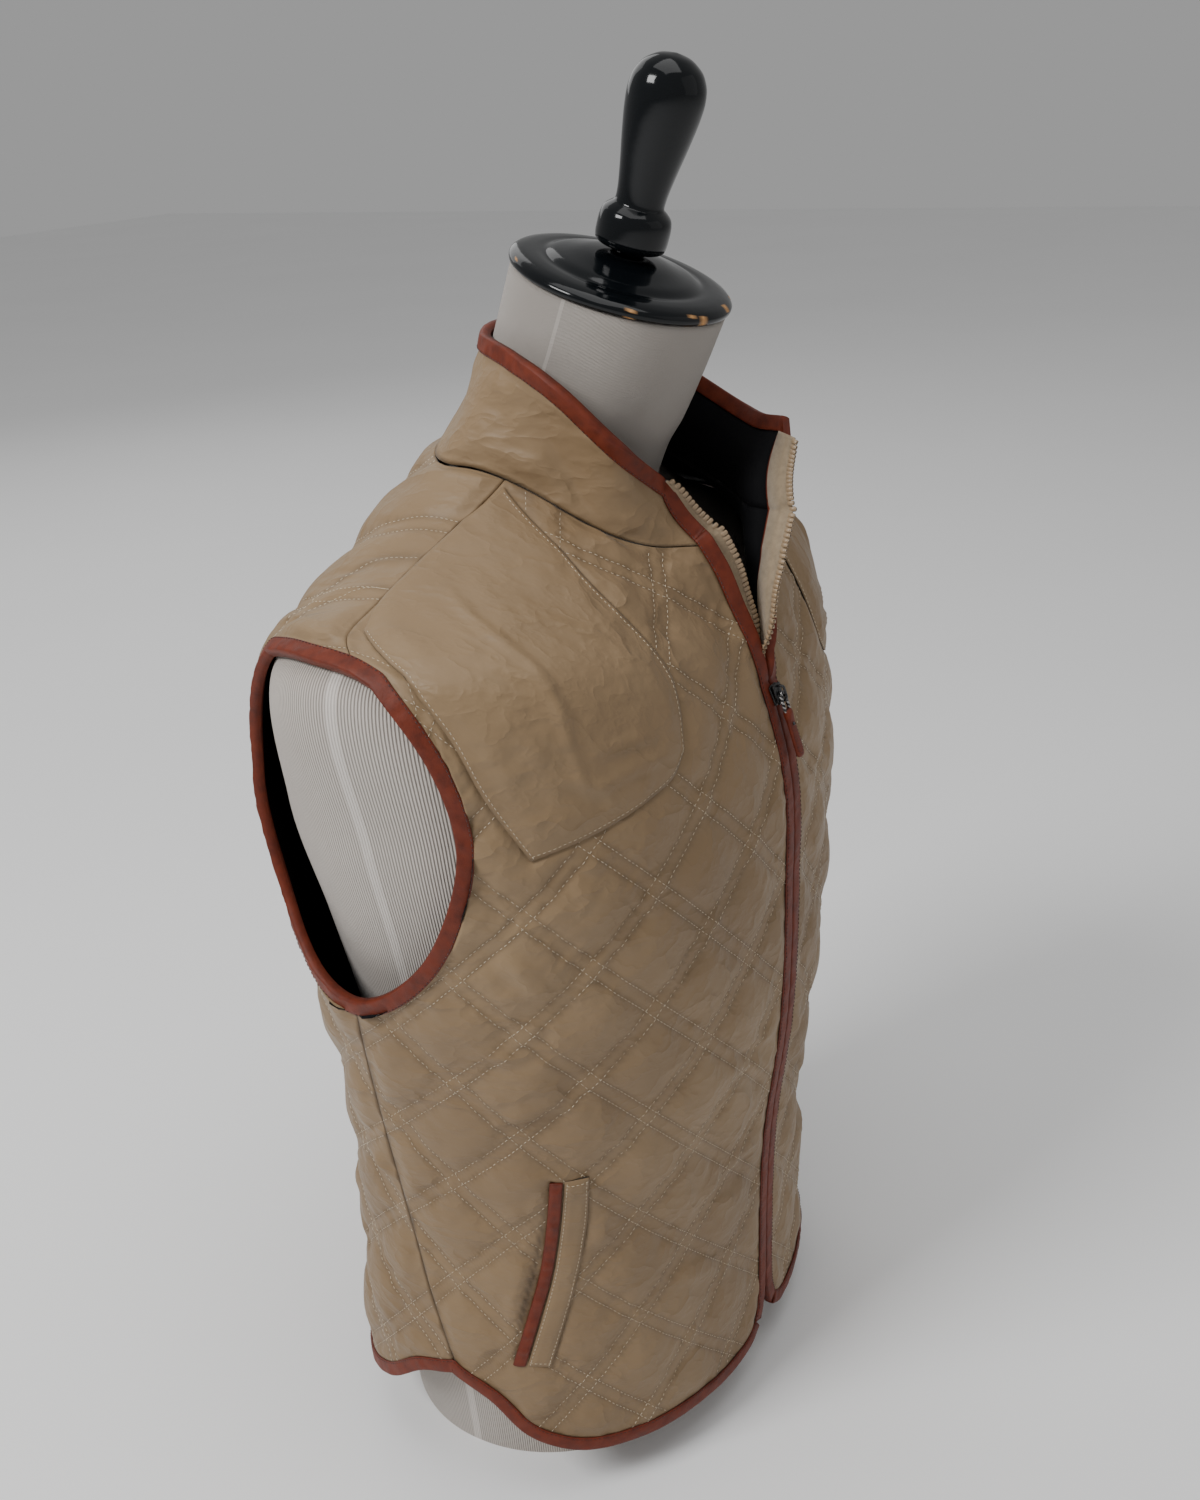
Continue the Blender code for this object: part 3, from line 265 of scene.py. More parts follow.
def facing(sheet, u, v, step=0.004):
    """Unit normals of a sheet function at u, v."""
    du = sheet(np.clip(u + step, 0, 1), v) - sheet(np.clip(u - step, 0, 1), v)
    dv = sheet(u, np.clip(v + step, 0, 1)) - sheet(u, np.clip(v - step, 0, 1))
    return unit(np.cross(dv, du))


FADE = 3                    # how fast a patch's foot and head curves lose hold of its rows


def coons(bottom, top, left, right):
    """Patch in (phi, s) between four side curves, each a function of 0..1."""
    def place(u, v):
        u, v = np.broadcast_arrays(np.asarray(u, float), np.asarray(v, float))
        a, b = u[..., None], v[..., None]
        low = bottom(u) - (1 - a) * bottom(0.0) - a * bottom(1.0)
        high = top(u) - (1 - a) * top(0.0) - a * top(1.0)
        return (1 - a) * left(v) + a * right(v) + low * (1 - b)**FADE + high * b**FADE
    return place


# ---------------------------------------------------------------- quilting
ARC_STEPS = np.arange(-180.0, 180.1, 3.0)
LEVELS = np.linspace(0.0, NECKLINE, 46)


def flat_pattern():
    """Flat-cloth coordinates of the body: across (from the front) and up, on a grid."""
    grid = rings(ARC_STEPS[None, :], LEVELS[:, None], SECTIONS)
    chest = int(np.argmin(np.abs(LEVELS - CHEST)))
    front = len(ARC_STEPS) // 2
    along = np.linalg.norm(np.diff(grid, axis=1), axis=2)
    across = np.concatenate((np.zeros((len(LEVELS), 1)), np.cumsum(along, axis=1)), axis=1)
    across -= across[:, front:front + 1]
    quarter = len(ARC_STEPS) // 4
    for row in range(chest + 1, len(LEVELS)):
        x = grid[row, :, 0]
        near = slice(quarter, 3 * quarter + 1)
        across[row] = np.interp(x, grid[chest, near, 0], across[chest, near])
        behind = np.abs(ARC_STEPS) > 90
        total, widest = across[chest, -1], across[chest, 3 * quarter]
        rear = np.abs(across[row, behind]) * (total - widest) / widest
        across[row, behind] = np.sign(ARC_STEPS[behind]) * (total - rear)
    rise = np.linalg.norm(np.diff(grid[:, :, 1:], axis=0), axis=2)
    up = np.concatenate((np.zeros((1, len(ARC_STEPS))), np.cumsum(rise, axis=0)), axis=0)
    return across, up + grid[:1, :, 2]


FLAT_ACROSS, FLAT_UP = flat_pattern()


def read_grid(table, phi, s):
    """Bilinear reading of a table over ARC_STEPS and LEVELS."""
    column = (phi - ARC_STEPS[0]) / 3.0
    row = s / LEVELS[1]
    i = np.clip(column.astype(int), 0, table.shape[1] - 2)
    j = np.clip(row.astype(int), 0, table.shape[0] - 2)
    a, b = column - i, row - j
    return ((1 - a) * (1 - b) * table[j, i] + a * (1 - b) * table[j, i + 1]
            + (1 - a) * b * table[j + 1, i] + a * b * table[j + 1, i + 1])


QUILT_ORIGIN = (0.132, 0.452)       # a crossing on the right front: across and up


def edge_frame(path, outward, closed=False):
    """Unit vectors square to a path, lying in the cloth."""
    if closed:
        run = np.roll(path, -1, axis=0) - np.roll(path, 1, axis=0)
    else:
        run = np.gradient(path, axis=0)
    return unit(np.cross(run, outward))


def outline(path, side, t):
    """Points and normals on the body at t along a curve in (phi, s)."""
    place = path(t)
    phi, s = place[:, 0], place[:, 1]
    points = body(phi, s, side)
    step = 0.4
    across = body(phi + step, s, side) - body(phi - step, s, side)
    rise = 0.03
    up = body(phi, np.minimum(s + rise, NECKLINE), side) - body(phi, s - rise, side)
    return points, unit(np.cross(across, up))


# ---------------------------------------------------------------- outlines on the body
SEAM_SIDE = 0.0003          # what each panel keeps off a side or shoulder seam
PANEL_ROWS = 32
SIDE_ROWS = 15              # of them below the underarm
UNDERARM = SIDE_ROWS / PANEL_ROWS
FRONT_COLUMNS = 15
SEAM_COLUMNS = 8            # columns of either panel that end on the shoulder seam
BACK_COLUMNS = 24


def curve(points):
    return lambda t: through(points, t)


def joined(first, second, share):
    """Two curves run one after the other; the first takes `share` of 0..1."""
    def place(t):
        t = np.asarray(t, float)
        low = first(t / share)
        high = second((t - share) / (1 - share))
        return np.where((t <= share)[..., None], low, high)
    return place


def backward(path):
    return lambda t: path(1.0 - np.asarray(t, float))


def beside(path, distance):
    """The curve moved round the body by a distance, towards the front if positive."""
    def place(t):
        where = path(t)
        points = rings(where[..., 0], where[..., 1], SECTIONS)
        angle = np.degrees(distance / np.hypot(points[..., 0], points[..., 1]))
        return where + np.stack((angle, np.zeros_like(angle)), -1)
    return place


def behind(path):
    """The same curve on the wearer's left, reached round the back."""
    return lambda t: np.array((-360.0, 0.0)) + path(t) * np.array((-1.0, 1.0))


def armhole(t):
    """The whole armhole, round from the underarm by the front."""
    ring = np.array(ARMHOLE[-3:] + ARMHOLE + ARMHOLE[:4], float)
    knots = travelled(ring * STEP_SCALE)
    start, end = knots[3], knots[3 + len(ARMHOLE)]
    return hermite(knots, ring, start + (end - start) * np.asarray(t, float))


def hole_share():
    """Place of the shoulder seam on the armhole."""
    t = np.linspace(0.3, 0.7, 401)
    corner = np.array(ARMHOLE[SEAM_CORNER])
    return t[np.argmin(np.linalg.norm((armhole(t) - corner) * STEP_SCALE, axis=1))]


SEAM_AT = hole_share()


def edge_angle(width, s):
    """Angle of a line that runs `width` beside the centre front."""
    radius = -rings(0.0 * np.asarray(s, float), s, SECTIONS)[..., 1]
    return -np.degrees(width / radius)


CORNER_ROUND = 0.16         # stations over which the front's hem corner is rounded


def front_edge(t):
    """Edge of the right front's cloth from the rounded hem corner to the neckline."""
    corner_angle, corner_s = HEM_FRONT[0]
    s = corner_s + (NECKLINE - corner_s) * np.asarray(t, float)
    turn = corner_angle - edge_angle(FRONT_EDGE, corner_s)
    rounded = turn * np.exp(-((s - corner_s) / CORNER_ROUND)**1.3)
    return np.stack((edge_angle(FRONT_EDGE, s) + rounded, s), -1)


def front_patch(side):
    """Coons patch of a front: across from its edge, up from the hem."""
    left, hem = front_edge, curve(HEM_FRONT)
    up_side = joined(curve(SIDE_SEAM), lambda t: armhole(t * SEAM_AT), UNDERARM)
    up_side = beside(up_side, SEAM_SIDE)
    seam = beside(curve(SHOULDER_SEAM[::-1]), SEAM_SIDE)
    start, end = left(1.0)[0], seam(0.0)[0]
    neck = lambda t: np.stack((start + (end - start) * np.asarray(t, float),
                               NECKLINE + 0.0 * np.asarray(t, float)), -1)
    place = coons(hem, joined(neck, seam, 1 - SEAM_COLUMNS / FRONT_COLUMNS), left, up_side)
    if side > 0:
        return lambda u, v: place(1 - u, v) * np.array((-1.0, 1.0))
    return lambda u, v: place(u, v)


NECK_DIP = 0.06             # station the back's edge stays under the neckline at its middle


def back_patch():
    """Coons patch of the back: from the wearer's right side to the left, up from the hem."""
    up_hole = lambda t: armhole(1.0 - np.asarray(t, float) * (1 - SEAM_AT))
    up_side = beside(joined(curve(SIDE_SEAM), up_hole, UNDERARM), -SEAM_SIDE)
    hem = joined(curve(HEM_BACK), backward(behind(curve(HEM_BACK))), 0.5)
    seam = beside(curve(SHOULDER_SEAM), -SEAM_SIDE)
    start = seam(1.0)[0]
    neck = lambda t: np.stack((start + (-360.0 - 2 * start) * np.asarray(t, float),
                               NECKLINE - NECK_DIP * np.sin(math.pi * np.asarray(t, float))), -1)
    share = SEAM_COLUMNS / BACK_COLUMNS
    top = joined(joined(seam, neck, share / (1 - share)), backward(behind(seam)), 1 - share)
    return coons(hem, top, up_side, behind(up_side))


def band_patch(first, last, side):
    """Patch between two curves in (phi, s)."""
    def place(u, v):
        u, v = np.broadcast_arrays(np.asarray(u, float), np.asarray(v, float))
        both = first(v) + (last(v) - first(v)) * u[..., None]
        return both * np.array((-side, 1.0))
    return place if side < 0 else lambda u, v: place(1 - u, v)


def on_body(place, side):
    """Sheet function: the patch laid on the worn surface."""
    def sheet(u, v):
        where = place(u, v)
        return body(where[..., 0], where[..., 1], side)
    return sheet


def zip_edge(side, t):
    """Points and normals along the zip edge of a front, t from the hem corner to the neckline."""
    sheet = on_body(front_patch(side), side)
    u = np.full(len(t), 0.0 if side < 0 else 1.0)
    return sheet(u, t), facing(sheet, u, t)


def outline_of(*curves):
    """Closed outline of a piece laid on a front, in flat cloth."""
    t = np.linspace(0, 1, 12, endpoint=False)
    ring = np.concatenate([path(t) for path in curves])
    return np.stack((np.abs(read_grid(FLAT_ACROSS, ring[:, 0], ring[:, 1])),
                     read_grid(FLAT_UP, ring[:, 0], ring[:, 1])), -1)


def cover(ring, phi, s, margin):
    """1 under a laid-on piece, fading to 0 over `margin` outside its outline."""
    phi = (phi + 180.0) % 360.0 - 180.0
    x, y = np.abs(read_grid(FLAT_ACROSS, phi, s)), read_grid(FLAT_UP, phi, s)
    inside = np.zeros(x.shape, bool)
    nearest = np.full(x.shape, 1.0)
    for (ax, ay), (bx, by) in zip(ring, np.roll(ring, -1, axis=0)):
        crosses = ((ay > y) != (by > y)) & (x < (bx - ax) * (y - ay) / (by - ay + 1e-12) + ax)
        inside ^= crosses
        t = ((x - ax) * (bx - ax) + (y - ay) * (by - ay)) / ((bx - ax)**2 + (by - ay)**2 + 1e-12)
        t = np.clip(t, 0, 1)
        nearest = np.minimum(nearest, np.hypot(x - ax - t * (bx - ax), y - ay - t * (by - ay)))
    return np.where(inside, 1.0, ease(1 - nearest / margin))


PATCH_RING = outline_of(curve(PATCH_INNER), curve(PATCH_FOOT), curve(PATCH_OUTER),
                        backward(curve(PATCH_TOP)))
WELT_RING = outline_of(curve(WELT_FRONT), backward(curve(WELT_BACK)))


PRESSED = 0.0012            # how far a laid-on piece presses the quilting down


SIDES = {-1: "right", 1: "left"}


def collar_sheet(u, v):
    """Outer face of the collar: u from the right front round the neck to the left, v up."""
    u, v = np.broadcast_arrays(np.asarray(u, float), np.asarray(v, float))
    edge = float(edge_angle(FRONT_EDGE, NECKLINE))
    phi = edge - (360.0 + 2 * edge) * u
    right, left = body(phi, NECKLINE, -1), body(phi + 360.0, NECKLINE, 1)
    foot = np.where((phi > -180)[..., None], right, left) + np.array((0.0, 0.0, COLLAR_LIFT))
    table = np.array(COLLAR_TOP)
    top = hermite(-table[:, 0], table[:, 1:], -phi)
    centre = np.array((0.0, -0.04, 0.0))
    away = unit((foot - centre) * np.array((1.0, 1.0, 0.0)))
    bulge = -COLLAR_BULGE * np.sin(math.pi * v)[..., None]
    return foot + (top - foot) * v[..., None] + away * bulge


TEETH_EARLY = 0.02          # stations under the opening at which the teeth start to show
TEETH_RAMP = 0.8            # stations over which they come out


def zip_protrusion(s):
    """How far the teeth stand out of the leather: not at all where the zip is closed."""
    return TEETH_OUT * ease((s - OPEN_FROM + TEETH_EARLY) / TEETH_RAMP)


TAPE_FROM = 0.042           # where a tape starts on the zip edge, and leaves it for the collar
TAPE_TO = 0.997
TEETH_OUT = 0.008           # how far the teeth stand out of the leather where the zip is open


WELT_THICK = 0.0014


# ---------------------------------------------------------------- zip slider and pull
SLIDER_WIDTH = 0.0105
SLIDER_THICK = 0.0035
SLIDER_SEAT = 0.0019        # underside of the slider over the shell
BRIDGE_SIZE = (0.0026, 0.0014)      # width and thickness of the bar that holds the pull
BRIDGE_HALF = 0.0045
BRIDGE_RISE = 0.0032
LINK_LENGTH = 0.0150
LINK_WIDTH = 0.0080
LINK_WIRE = 0.0011


def slider_frame():
    """Matrix at the slider: X across, Y out of the cloth, Z up along the zip."""
    at = body(0.0, ZIP_STATION, 0)
    up = body(0.0, ZIP_STATION + 0.02, 0) - body(0.0, ZIP_STATION - 0.02, 0)
    up = Vector(up / np.linalg.norm(up))
    across = Vector((-1.0, 0.0, 0.0))
    out = up.cross(across)
    return Matrix.Translation(Vector(at)) @ Matrix((across, out, up)).transposed().to_4x4()


# ---------------------------------------------------------------- the dress form
def form_rings(phi):
    """Level rings of the form from its flat underside to the rim of its neck."""
    levels = [rings(phi, np.full_like(phi, i), FORM_SECTIONS) for i in range(len(FORM_SECTIONS))]
    step = 0.5
    for station, front in FORM_SHOULDERS:
        sections = SECTIONS.copy()
        sections[:, 4] *= front / -rings(0.0, station, SECTIONS)[1]
        points = rings(phi, station, sections)
        across = rings(phi + step, station, sections) - rings(phi - step, station, sections)
        up = rings(phi, station + 0.05, sections) - rings(phi, station - 0.05, sections)
        normal = unit(np.cross(across, up))
        levels.append(points - normal * (QUILT_THICK + FORM_CLEAR))
    angle = np.radians(phi)
    for y, z, half_x, half_y, lean in NECK:
        tilt = math.radians(lean)
        forward = -half_y * np.cos(angle)
        levels.append(np.stack((half_x * np.sin(angle), y + forward * math.cos(tilt),
                                z + forward * math.sin(tilt)), -1))
    return np.array(levels)


# ---------------------------------------------------------------- noise
def lattice_noise(x, y, seed, size=64):
    """Smooth noise from -1 to 1 over a seeded lattice with unit cells."""
    table = np.random.default_rng(seed).uniform(-1, 1, (size, size))
    x, y = np.broadcast_arrays(np.asarray(x, float), np.asarray(y, float))
    i, j = np.floor(x).astype(int), np.floor(y).astype(int)
    a, b = ease(x - i), ease(y - j)
    i0, i1, j0, j1 = i % size, (i + 1) % size, j % size, (j + 1) % size
    low = table[j0, i0] * (1 - a) + table[j0, i1] * a
    high = table[j1, i0] * (1 - a) + table[j1, i1] * a
    return low * (1 - b) + high * b


# ---------------------------------------------------------------- materials
class Finish:
    """A material with its Principled shader and short ways to add nodes."""

    def __init__(self, name, colour, roughness, **sockets):
        self.made = bpy.data.materials.new(name)
        self.made.use_nodes = True
        self.nodes, self.links = self.made.node_tree.nodes, self.made.node_tree.links
        self.shader = self.nodes["Principled BSDF"]
        self.set("Base Color", (*colour, 1.0))
        self.set("Roughness", roughness)
        for socket, value in sockets.items():
            self.set(socket.replace("_", " "), value)
        self.made.diffuse_color = (*colour, 1.0)

    def set(self, socket, value):
        self.shader.inputs[socket].default_value = value

    def add(self, kind, inputs=None, **settings):
        node = self.nodes.new(kind)
        for key, value in settings.items():
            setattr(node, key, value)
        for key, value in (inputs or {}).items():
            if isinstance(value, bpy.types.NodeSocket):
                self.links.new(value, node.inputs[key])
            else:
                node.inputs[key].default_value = value
        return node

    def link(self, output, socket):
        self.links.new(output, self.shader.inputs[socket])

    def where(self, kind="Object"):
        return self.add("ShaderNodeTexCoord").outputs[kind]

    def scaled(self, vector, scale):
        node = self.add("ShaderNodeMapping", {"Vector": vector})
        node.inputs["Scale"].default_value = scale
        return node.outputs["Vector"]

    def noise(self, vector, scale, detail=4.0, rough=0.55):
        return self.add("ShaderNodeTexNoise", {"Vector": vector, "Scale": scale, "Detail": detail,
                                               "Roughness": rough}).outputs["Fac"]

    def ramp(self, value, stops):
        node = self.add("ShaderNodeValToRGB", {"Fac": value})
        bar = node.color_ramp
        while len(bar.elements) < len(stops):
            bar.elements.new(0.5)
        for element, (place, colour) in zip(bar.elements, stops):
            element.position = place
            element.color = (*colour, 1.0)
        return node.outputs["Color"]

    def maths(self, operation, *values):
        node = self.add("ShaderNodeMath", operation=operation)
        for socket, value in zip(node.inputs, values):
            if isinstance(value, bpy.types.NodeSocket):
                self.links.new(value, socket)
            else:
                socket.default_value = value
        return node.outputs["Value"]

    def mix(self, share, first, second, blend="MIX"):
        node = self.add("ShaderNodeMix", data_type="RGBA", blend_type=blend)
        for socket, value in ((node.inputs[0], share), (node.inputs[6], first),
                              (node.inputs[7], second)):
            if isinstance(value, bpy.types.NodeSocket):
                self.links.new(value, socket)
            elif isinstance(value, tuple):
                socket.default_value = (*value, 1.0)
            else:
                socket.default_value = value
        return node.outputs[2]

    def bump(self, height, strength, distance, under=None):
        inputs = {"Height": height, "Strength": strength, "Distance": distance}
        if under is not None:
            inputs["Normal"] = under
        normal = self.add("ShaderNodeBump", inputs).outputs["Normal"]
        self.link(normal, "Normal")
        return normal

    def attribute(self, name):
        return self.add("ShaderNodeAttribute", attribute_name=name).outputs["Fac"]


def weave_height(finish):
    """Over-and-under weave in the flat-cloth UV map, whose unit is a metre."""
    flat = finish.where("UV")
    turns = math.tau / WEAVE_PITCH
    warp = finish.add("ShaderNodeSeparateXYZ", {"Vector": finish.scaled(flat, (turns, turns, 1.0))})
    across = finish.maths("SINE", warp.outputs["X"])
    along = finish.maths("SINE", warp.outputs["Y"])
    return finish.maths("MULTIPLY", across, along)


def creases(finish, vector, scale, seed):
    """Height with sharp soft-sided creases, as in thin crumpled nylon."""
    moved = finish.add("ShaderNodeMapping", {"Vector": vector})
    moved.inputs["Location"].default_value = (seed, 2.7 * seed, -1.3 * seed)
    moved.inputs["Rotation"].default_value = (0.4 * seed, 0.9, 0.7 * seed)
    moved.inputs["Scale"].default_value = (1.0, 0.45, 1.0)
    fold = finish.noise(moved.outputs["Vector"], scale, 3.0, 0.45)
    away = finish.maths("ABSOLUTE", finish.maths("MULTIPLY_ADD", fold, 2.0, -1.0))
    return finish.maths("POWER", finish.maths("SUBTRACT", 1.0, away), 5.0)


def shell_finish():
    made = Finish("tan quilted shell", TAN, 0.50, Specular_IOR_Level=0.38, Sheen_Weight=0.08,
                  Sheen_Roughness=0.4)
    at = made.where()
    cloud = made.noise(at, 7.0, 3.0)
    tone = made.ramp(cloud, ((0.30, TAN_DARK), (0.52, TAN), (0.75, TAN_LIGHT)))
    # Painted shade: a per-point mask darkens the tan along stitched rows, seams, sewn edges and
    # pocket mouths.
    shaded = made.mix(made.attribute("painted_shade"), tone, TAN_PAINTED_SHADE)
    inner = made.ramp(made.attribute("inside"), ((0.30, (0.0, 0.0, 0.0)), (0.45, (1.0, 1.0, 1.0))))
    made.link(made.mix(inner, shaded, LINING), "Base Color")
    large = made.bump(creases(made, at, 24.0, 1.0), 0.62, 0.0026)
    small = made.bump(creases(made, at, 62.0, 2.0), 0.50, 0.0010, large)
    rumple = made.bump(made.noise(at, 34.0, 3.0, 0.5), 0.42, 0.0030, small)
    made.bump(weave_height(made), 0.10, 0.0002, rumple)
    gloss = made.noise(at, 40.0, 2.0)
    rough = made.add("ShaderNodeMapRange", {"Value": gloss, "To Min": 0.46, "To Max": 0.60})
    made.link(rough.outputs["Result"], "Roughness")
    return made.made


def lining_finish():
    made = Finish("black lining", LINING, 0.80, Specular_IOR_Level=0.12)
    at = made.where()
    tone = made.ramp(made.noise(at, 12.0),
                     ((0.35, (0.003, 0.003, 0.004)), (0.7, (0.007, 0.007, 0.008))))
    made.link(tone, "Base Color")
    crinkle = made.bump(made.noise(at, 110.0, 5.0, 0.6), 0.30, 0.0015)
    made.bump(weave_height(made), 0.10, 0.0002, crinkle)
    return made.made


def leather_finish():
    made = Finish("brown leather", LEATHER, 0.50, Specular_IOR_Level=0.32)
    at = made.where()
    cloud = made.noise(at, 150.0, 5.0)
    tone = made.ramp(cloud, ((0.28, LEATHER_DARK), (0.55, LEATHER), (0.80, LEATHER_LIGHT)))
    # Painted shade: a per-point mask darkens the leather along its edges and binding lips.
    leather_shade = made.attribute("painted_shade")
    made.link(made.mix(leather_shade, tone, LEATHER_DARK), "Base Color")
    grain = made.add("ShaderNodeTexVoronoi", {"Vector": at, "Scale": 1300.0},
                     feature="DISTANCE_TO_EDGE").outputs["Distance"]
    wrinkle = made.bump(made.noise(at, 420.0, 5.0, 0.65), 0.32, 0.0006)
    made.bump(grain, 0.25, 0.0004, wrinkle)
    rough = made.add("ShaderNodeMapRange", {"Value": cloud, "To Min": 0.46, "To Max": 0.62})
    made.link(rough.outputs["Result"], "Roughness")
    return made.made


def tape_finish():
    colour = TAPE_BEIGE
    made = Finish("beige zip tape", colour, 0.82, Sheen_Weight=0.2)
    at = made.where()
    dark = tuple(c * 0.78 for c in colour)
    made.link(made.ramp(made.noise(at, 300.0, 3.0), ((0.3, dark), (0.65, colour))), "Base Color")
    part = made.add("ShaderNodeSeparateXYZ", {"Vector": made.where("UV")})
    across = made.maths("ADD", part.outputs["X"], part.outputs["Y"])
    slant = made.maths("SINE", made.maths("MULTIPLY", across, math.tau / TWILL_PITCH))
    made.bump(slant, 0.5, 0.0003)
    return made.made


def thread_finish(name, colour):
    made = Finish(name, colour, 0.62, Sheen_Weight=0.15)
    twist = made.add("ShaderNodeTexWave",
                     {"Vector": made.where(), "Scale": 900.0, "Distortion": 2.0})
    dark = tuple(c * 0.8 for c in colour)
    made.link(made.mix(twist.outputs["Fac"], dark, colour), "Base Color")
    made.bump(twist.outputs["Fac"], 0.3, 0.0002)
    return made.made


def plastic_finish(name, colour, roughness):
    made = Finish(name, colour, roughness)
    at = made.where()
    tone = made.ramp(made.noise(at, 400.0, 2.0),
                     ((0.3, tuple(c * 0.85 for c in colour)), (0.7, colour)))
    made.link(tone, "Base Color")
    made.bump(made.noise(at, 900.0, 2.0), 0.1, 0.0002)
    return made.made


def metal_finish(name, colour, roughness):
    made = Finish(name, colour, roughness, Metallic=0.9)
    at = made.where()
    worn = made.ramp(made.noise(at, 700.0, 4.0),
                     ((0.45, colour), (0.72, tuple(c + 0.10 for c in colour))))
    made.link(worn, "Base Color")
    made.bump(made.noise(at, 500.0, 3.0), 0.15, 0.0002)
    return made.made


def jersey_finish():
    made = Finish("ribbed jersey", JERSEY, 0.90, Sheen_Weight=0.25, Sheen_Roughness=0.5)
    flat = made.where("UV")
    part = made.add("ShaderNodeSeparateXYZ", {"Vector": flat})
    ribs = made.maths("SINE", made.maths("MULTIPLY", part.outputs["X"], math.tau / RIB_PITCH))
    lift = made.maths("POWER", made.maths("MULTIPLY_ADD", ribs, 0.5, 0.5), 0.5)
    cloud = made.noise(made.where(), 9.0, 3.0)
    tone = made.ramp(cloud, ((0.3, JERSEY_DARK), (0.6, JERSEY), (0.8, JERSEY_LIGHT)))
    # Painted shade: the grooves between the ribs are darkened towards the deep jersey tone.
    ribbed = made.mix(made.maths("MULTIPLY_ADD", lift, -0.75, 0.75), tone, JERSEY_RIB_SHADE)
    off_seam = made.maths("ABSOLUTE", made.maths("SUBTRACT", part.outputs["X"], JERSEY_SEAM))
    made.link(made.mix(made.maths("LESS_THAN", off_seam, SEAM_HALF), ribbed, JERSEY_LIGHT),
              "Base Color")
    knit = made.noise(made.scaled(made.where(), (1.0, 1.0, 1.6)), 1100.0, 2.0)
    rib_bump = made.bump(lift, 0.90, 0.0008)
    made.bump(knit, 0.25, 0.0004, rib_bump)
    return made.made


def lacquer_finish():
    made = Finish("black lacquer", LACQUER, 0.10, Specular_IOR_Level=0.32)
    at = made.where()
    chip = made.attribute("chip")
    wood = made.ramp(made.noise(at, 500.0, 3.0),
                     ((0.3, (0.42, 0.20, 0.07)), (0.7, (0.62, 0.34, 0.14))))
    made.link(made.mix(chip, LACQUER, wood), "Base Color")
    rough = made.add("ShaderNodeMapRange", {"Value": chip, "To Min": 0.10, "To Max": 0.75})
    made.link(rough.outputs["Result"], "Roughness")
    orange_peel = made.bump(made.noise(at, 60.0, 3.0), 0.12, 0.0012)
    made.bump(made.noise(at, 14.0, 2.0), 0.10, 0.0030, orange_peel)
    return made.made


# ---------------------------------------------------------------- mesh tools
def in_scene(name, data):
    """A new object of the data, linked to the scene."""
    thing = bpy.data.objects.new(name, data)
    bpy.context.scene.collection.objects.link(thing)
    return thing


def as_object(name, points, faces, finishes, marks=None, uv=None, values=None, smooth=True):
    """Object from points and faces; marks are finishes by face, uv flat places by point."""
    mesh = bpy.data.meshes.new(name)
    mesh.from_pydata([tuple(p) for p in points], [], faces)
    for finish in finishes:
        mesh.materials.append(finish)
    if marks is not None:
        mesh.polygons.foreach_set("material_index", np.asarray(marks, np.int32))
    if uv is not None:
        corners = np.empty(len(mesh.loops), np.int32)
        mesh.loops.foreach_get("vertex_index", corners)
        layer = mesh.uv_layers.new(name="flat")
        layer.data.foreach_set("uv", np.asarray(uv, np.float32)[corners].ravel())
    for key, numbers in (values or {}).items():
        mesh.attributes.new(key, "FLOAT", "POINT").data.foreach_set("value",
                                                                    np.asarray(numbers, np.float32))
    if smooth:
        mesh.shade_smooth()
    mesh.validate()
    mesh.update()
    return in_scene(name, mesh)


def grid_faces(columns, rows, start=0, flip=False):
    i, j = np.meshgrid(np.arange(columns), np.arange(rows))
    a = start + j * (columns + 1) + i
    quads = np.stack((a, a + 1, a + columns + 2, a + columns + 1), -1).reshape(-1, 4)
    return (quads[:, ::-1] if flip else quads).tolist()


def loft_faces(corners, sections, start=0, ring=False):
    """Quads between neighbouring sections; in a ring the last meets the first."""
    faces = []
    for j in range(sections if ring else sections - 1):
        here, there = start + j * corners, start + (j + 1) % sections * corners
        faces += [(here + k, here + (k + 1) % corners, there + (k + 1) % corners, there + k)
                  for k in range(corners)]
    return faces


def end_faces(corners, sections):
    """Both end faces of a loft."""
    return [tuple(range(corners)), tuple(range((sections - 1) * corners, sections * corners))]


def rim_faces(size, fine, coarse, skip):
    """Faces that close the edge between a fine outer grid and a coarse inner one."""
    columns, rows = size
    wide, tall = columns // skip, rows // skip

    def outer(i, j):
        return fine + j * (columns + 1) + i

    def inner(i, j):
        return coarse + j * (wide + 1) + i
    faces = []
    for k in range(wide):
        span = range(k * skip, (k + 1) * skip + 1)
        faces.append([outer(i, 0) for i in reversed(span)] + [inner(k, 0), inner(k + 1, 0)])
        faces.append([outer(i, rows) for i in span] + [inner(k + 1, tall), inner(k, tall)])
    for k in range(tall):
        span = range(k * skip, (k + 1) * skip + 1)
        faces.append([outer(0, j) for j in span] + [inner(0, k + 1), inner(0, k)])
        faces.append([outer(columns, j) for j in reversed(span)] + [inner(columns // skip, k),
                                                                   inner(columns // skip, k + 1)])
    return faces


def edge_distances(base):
    """Distances along the cloth from its four edges: left, right, foot, head."""
    step_u = np.linalg.norm(np.diff(base, axis=1), axis=2)
    step_v = np.linalg.norm(np.diff(base, axis=0), axis=2)
    rows, columns = base.shape[:2]
    from_left = np.concatenate((np.zeros((rows, 1)), np.cumsum(step_u, axis=1)), axis=1)
    from_foot = np.concatenate((np.zeros((1, columns)), np.cumsum(step_v, axis=0)), axis=0)
    return from_left, from_left[:, -1:] - from_left, from_foot, from_foot[-1:] - from_foot


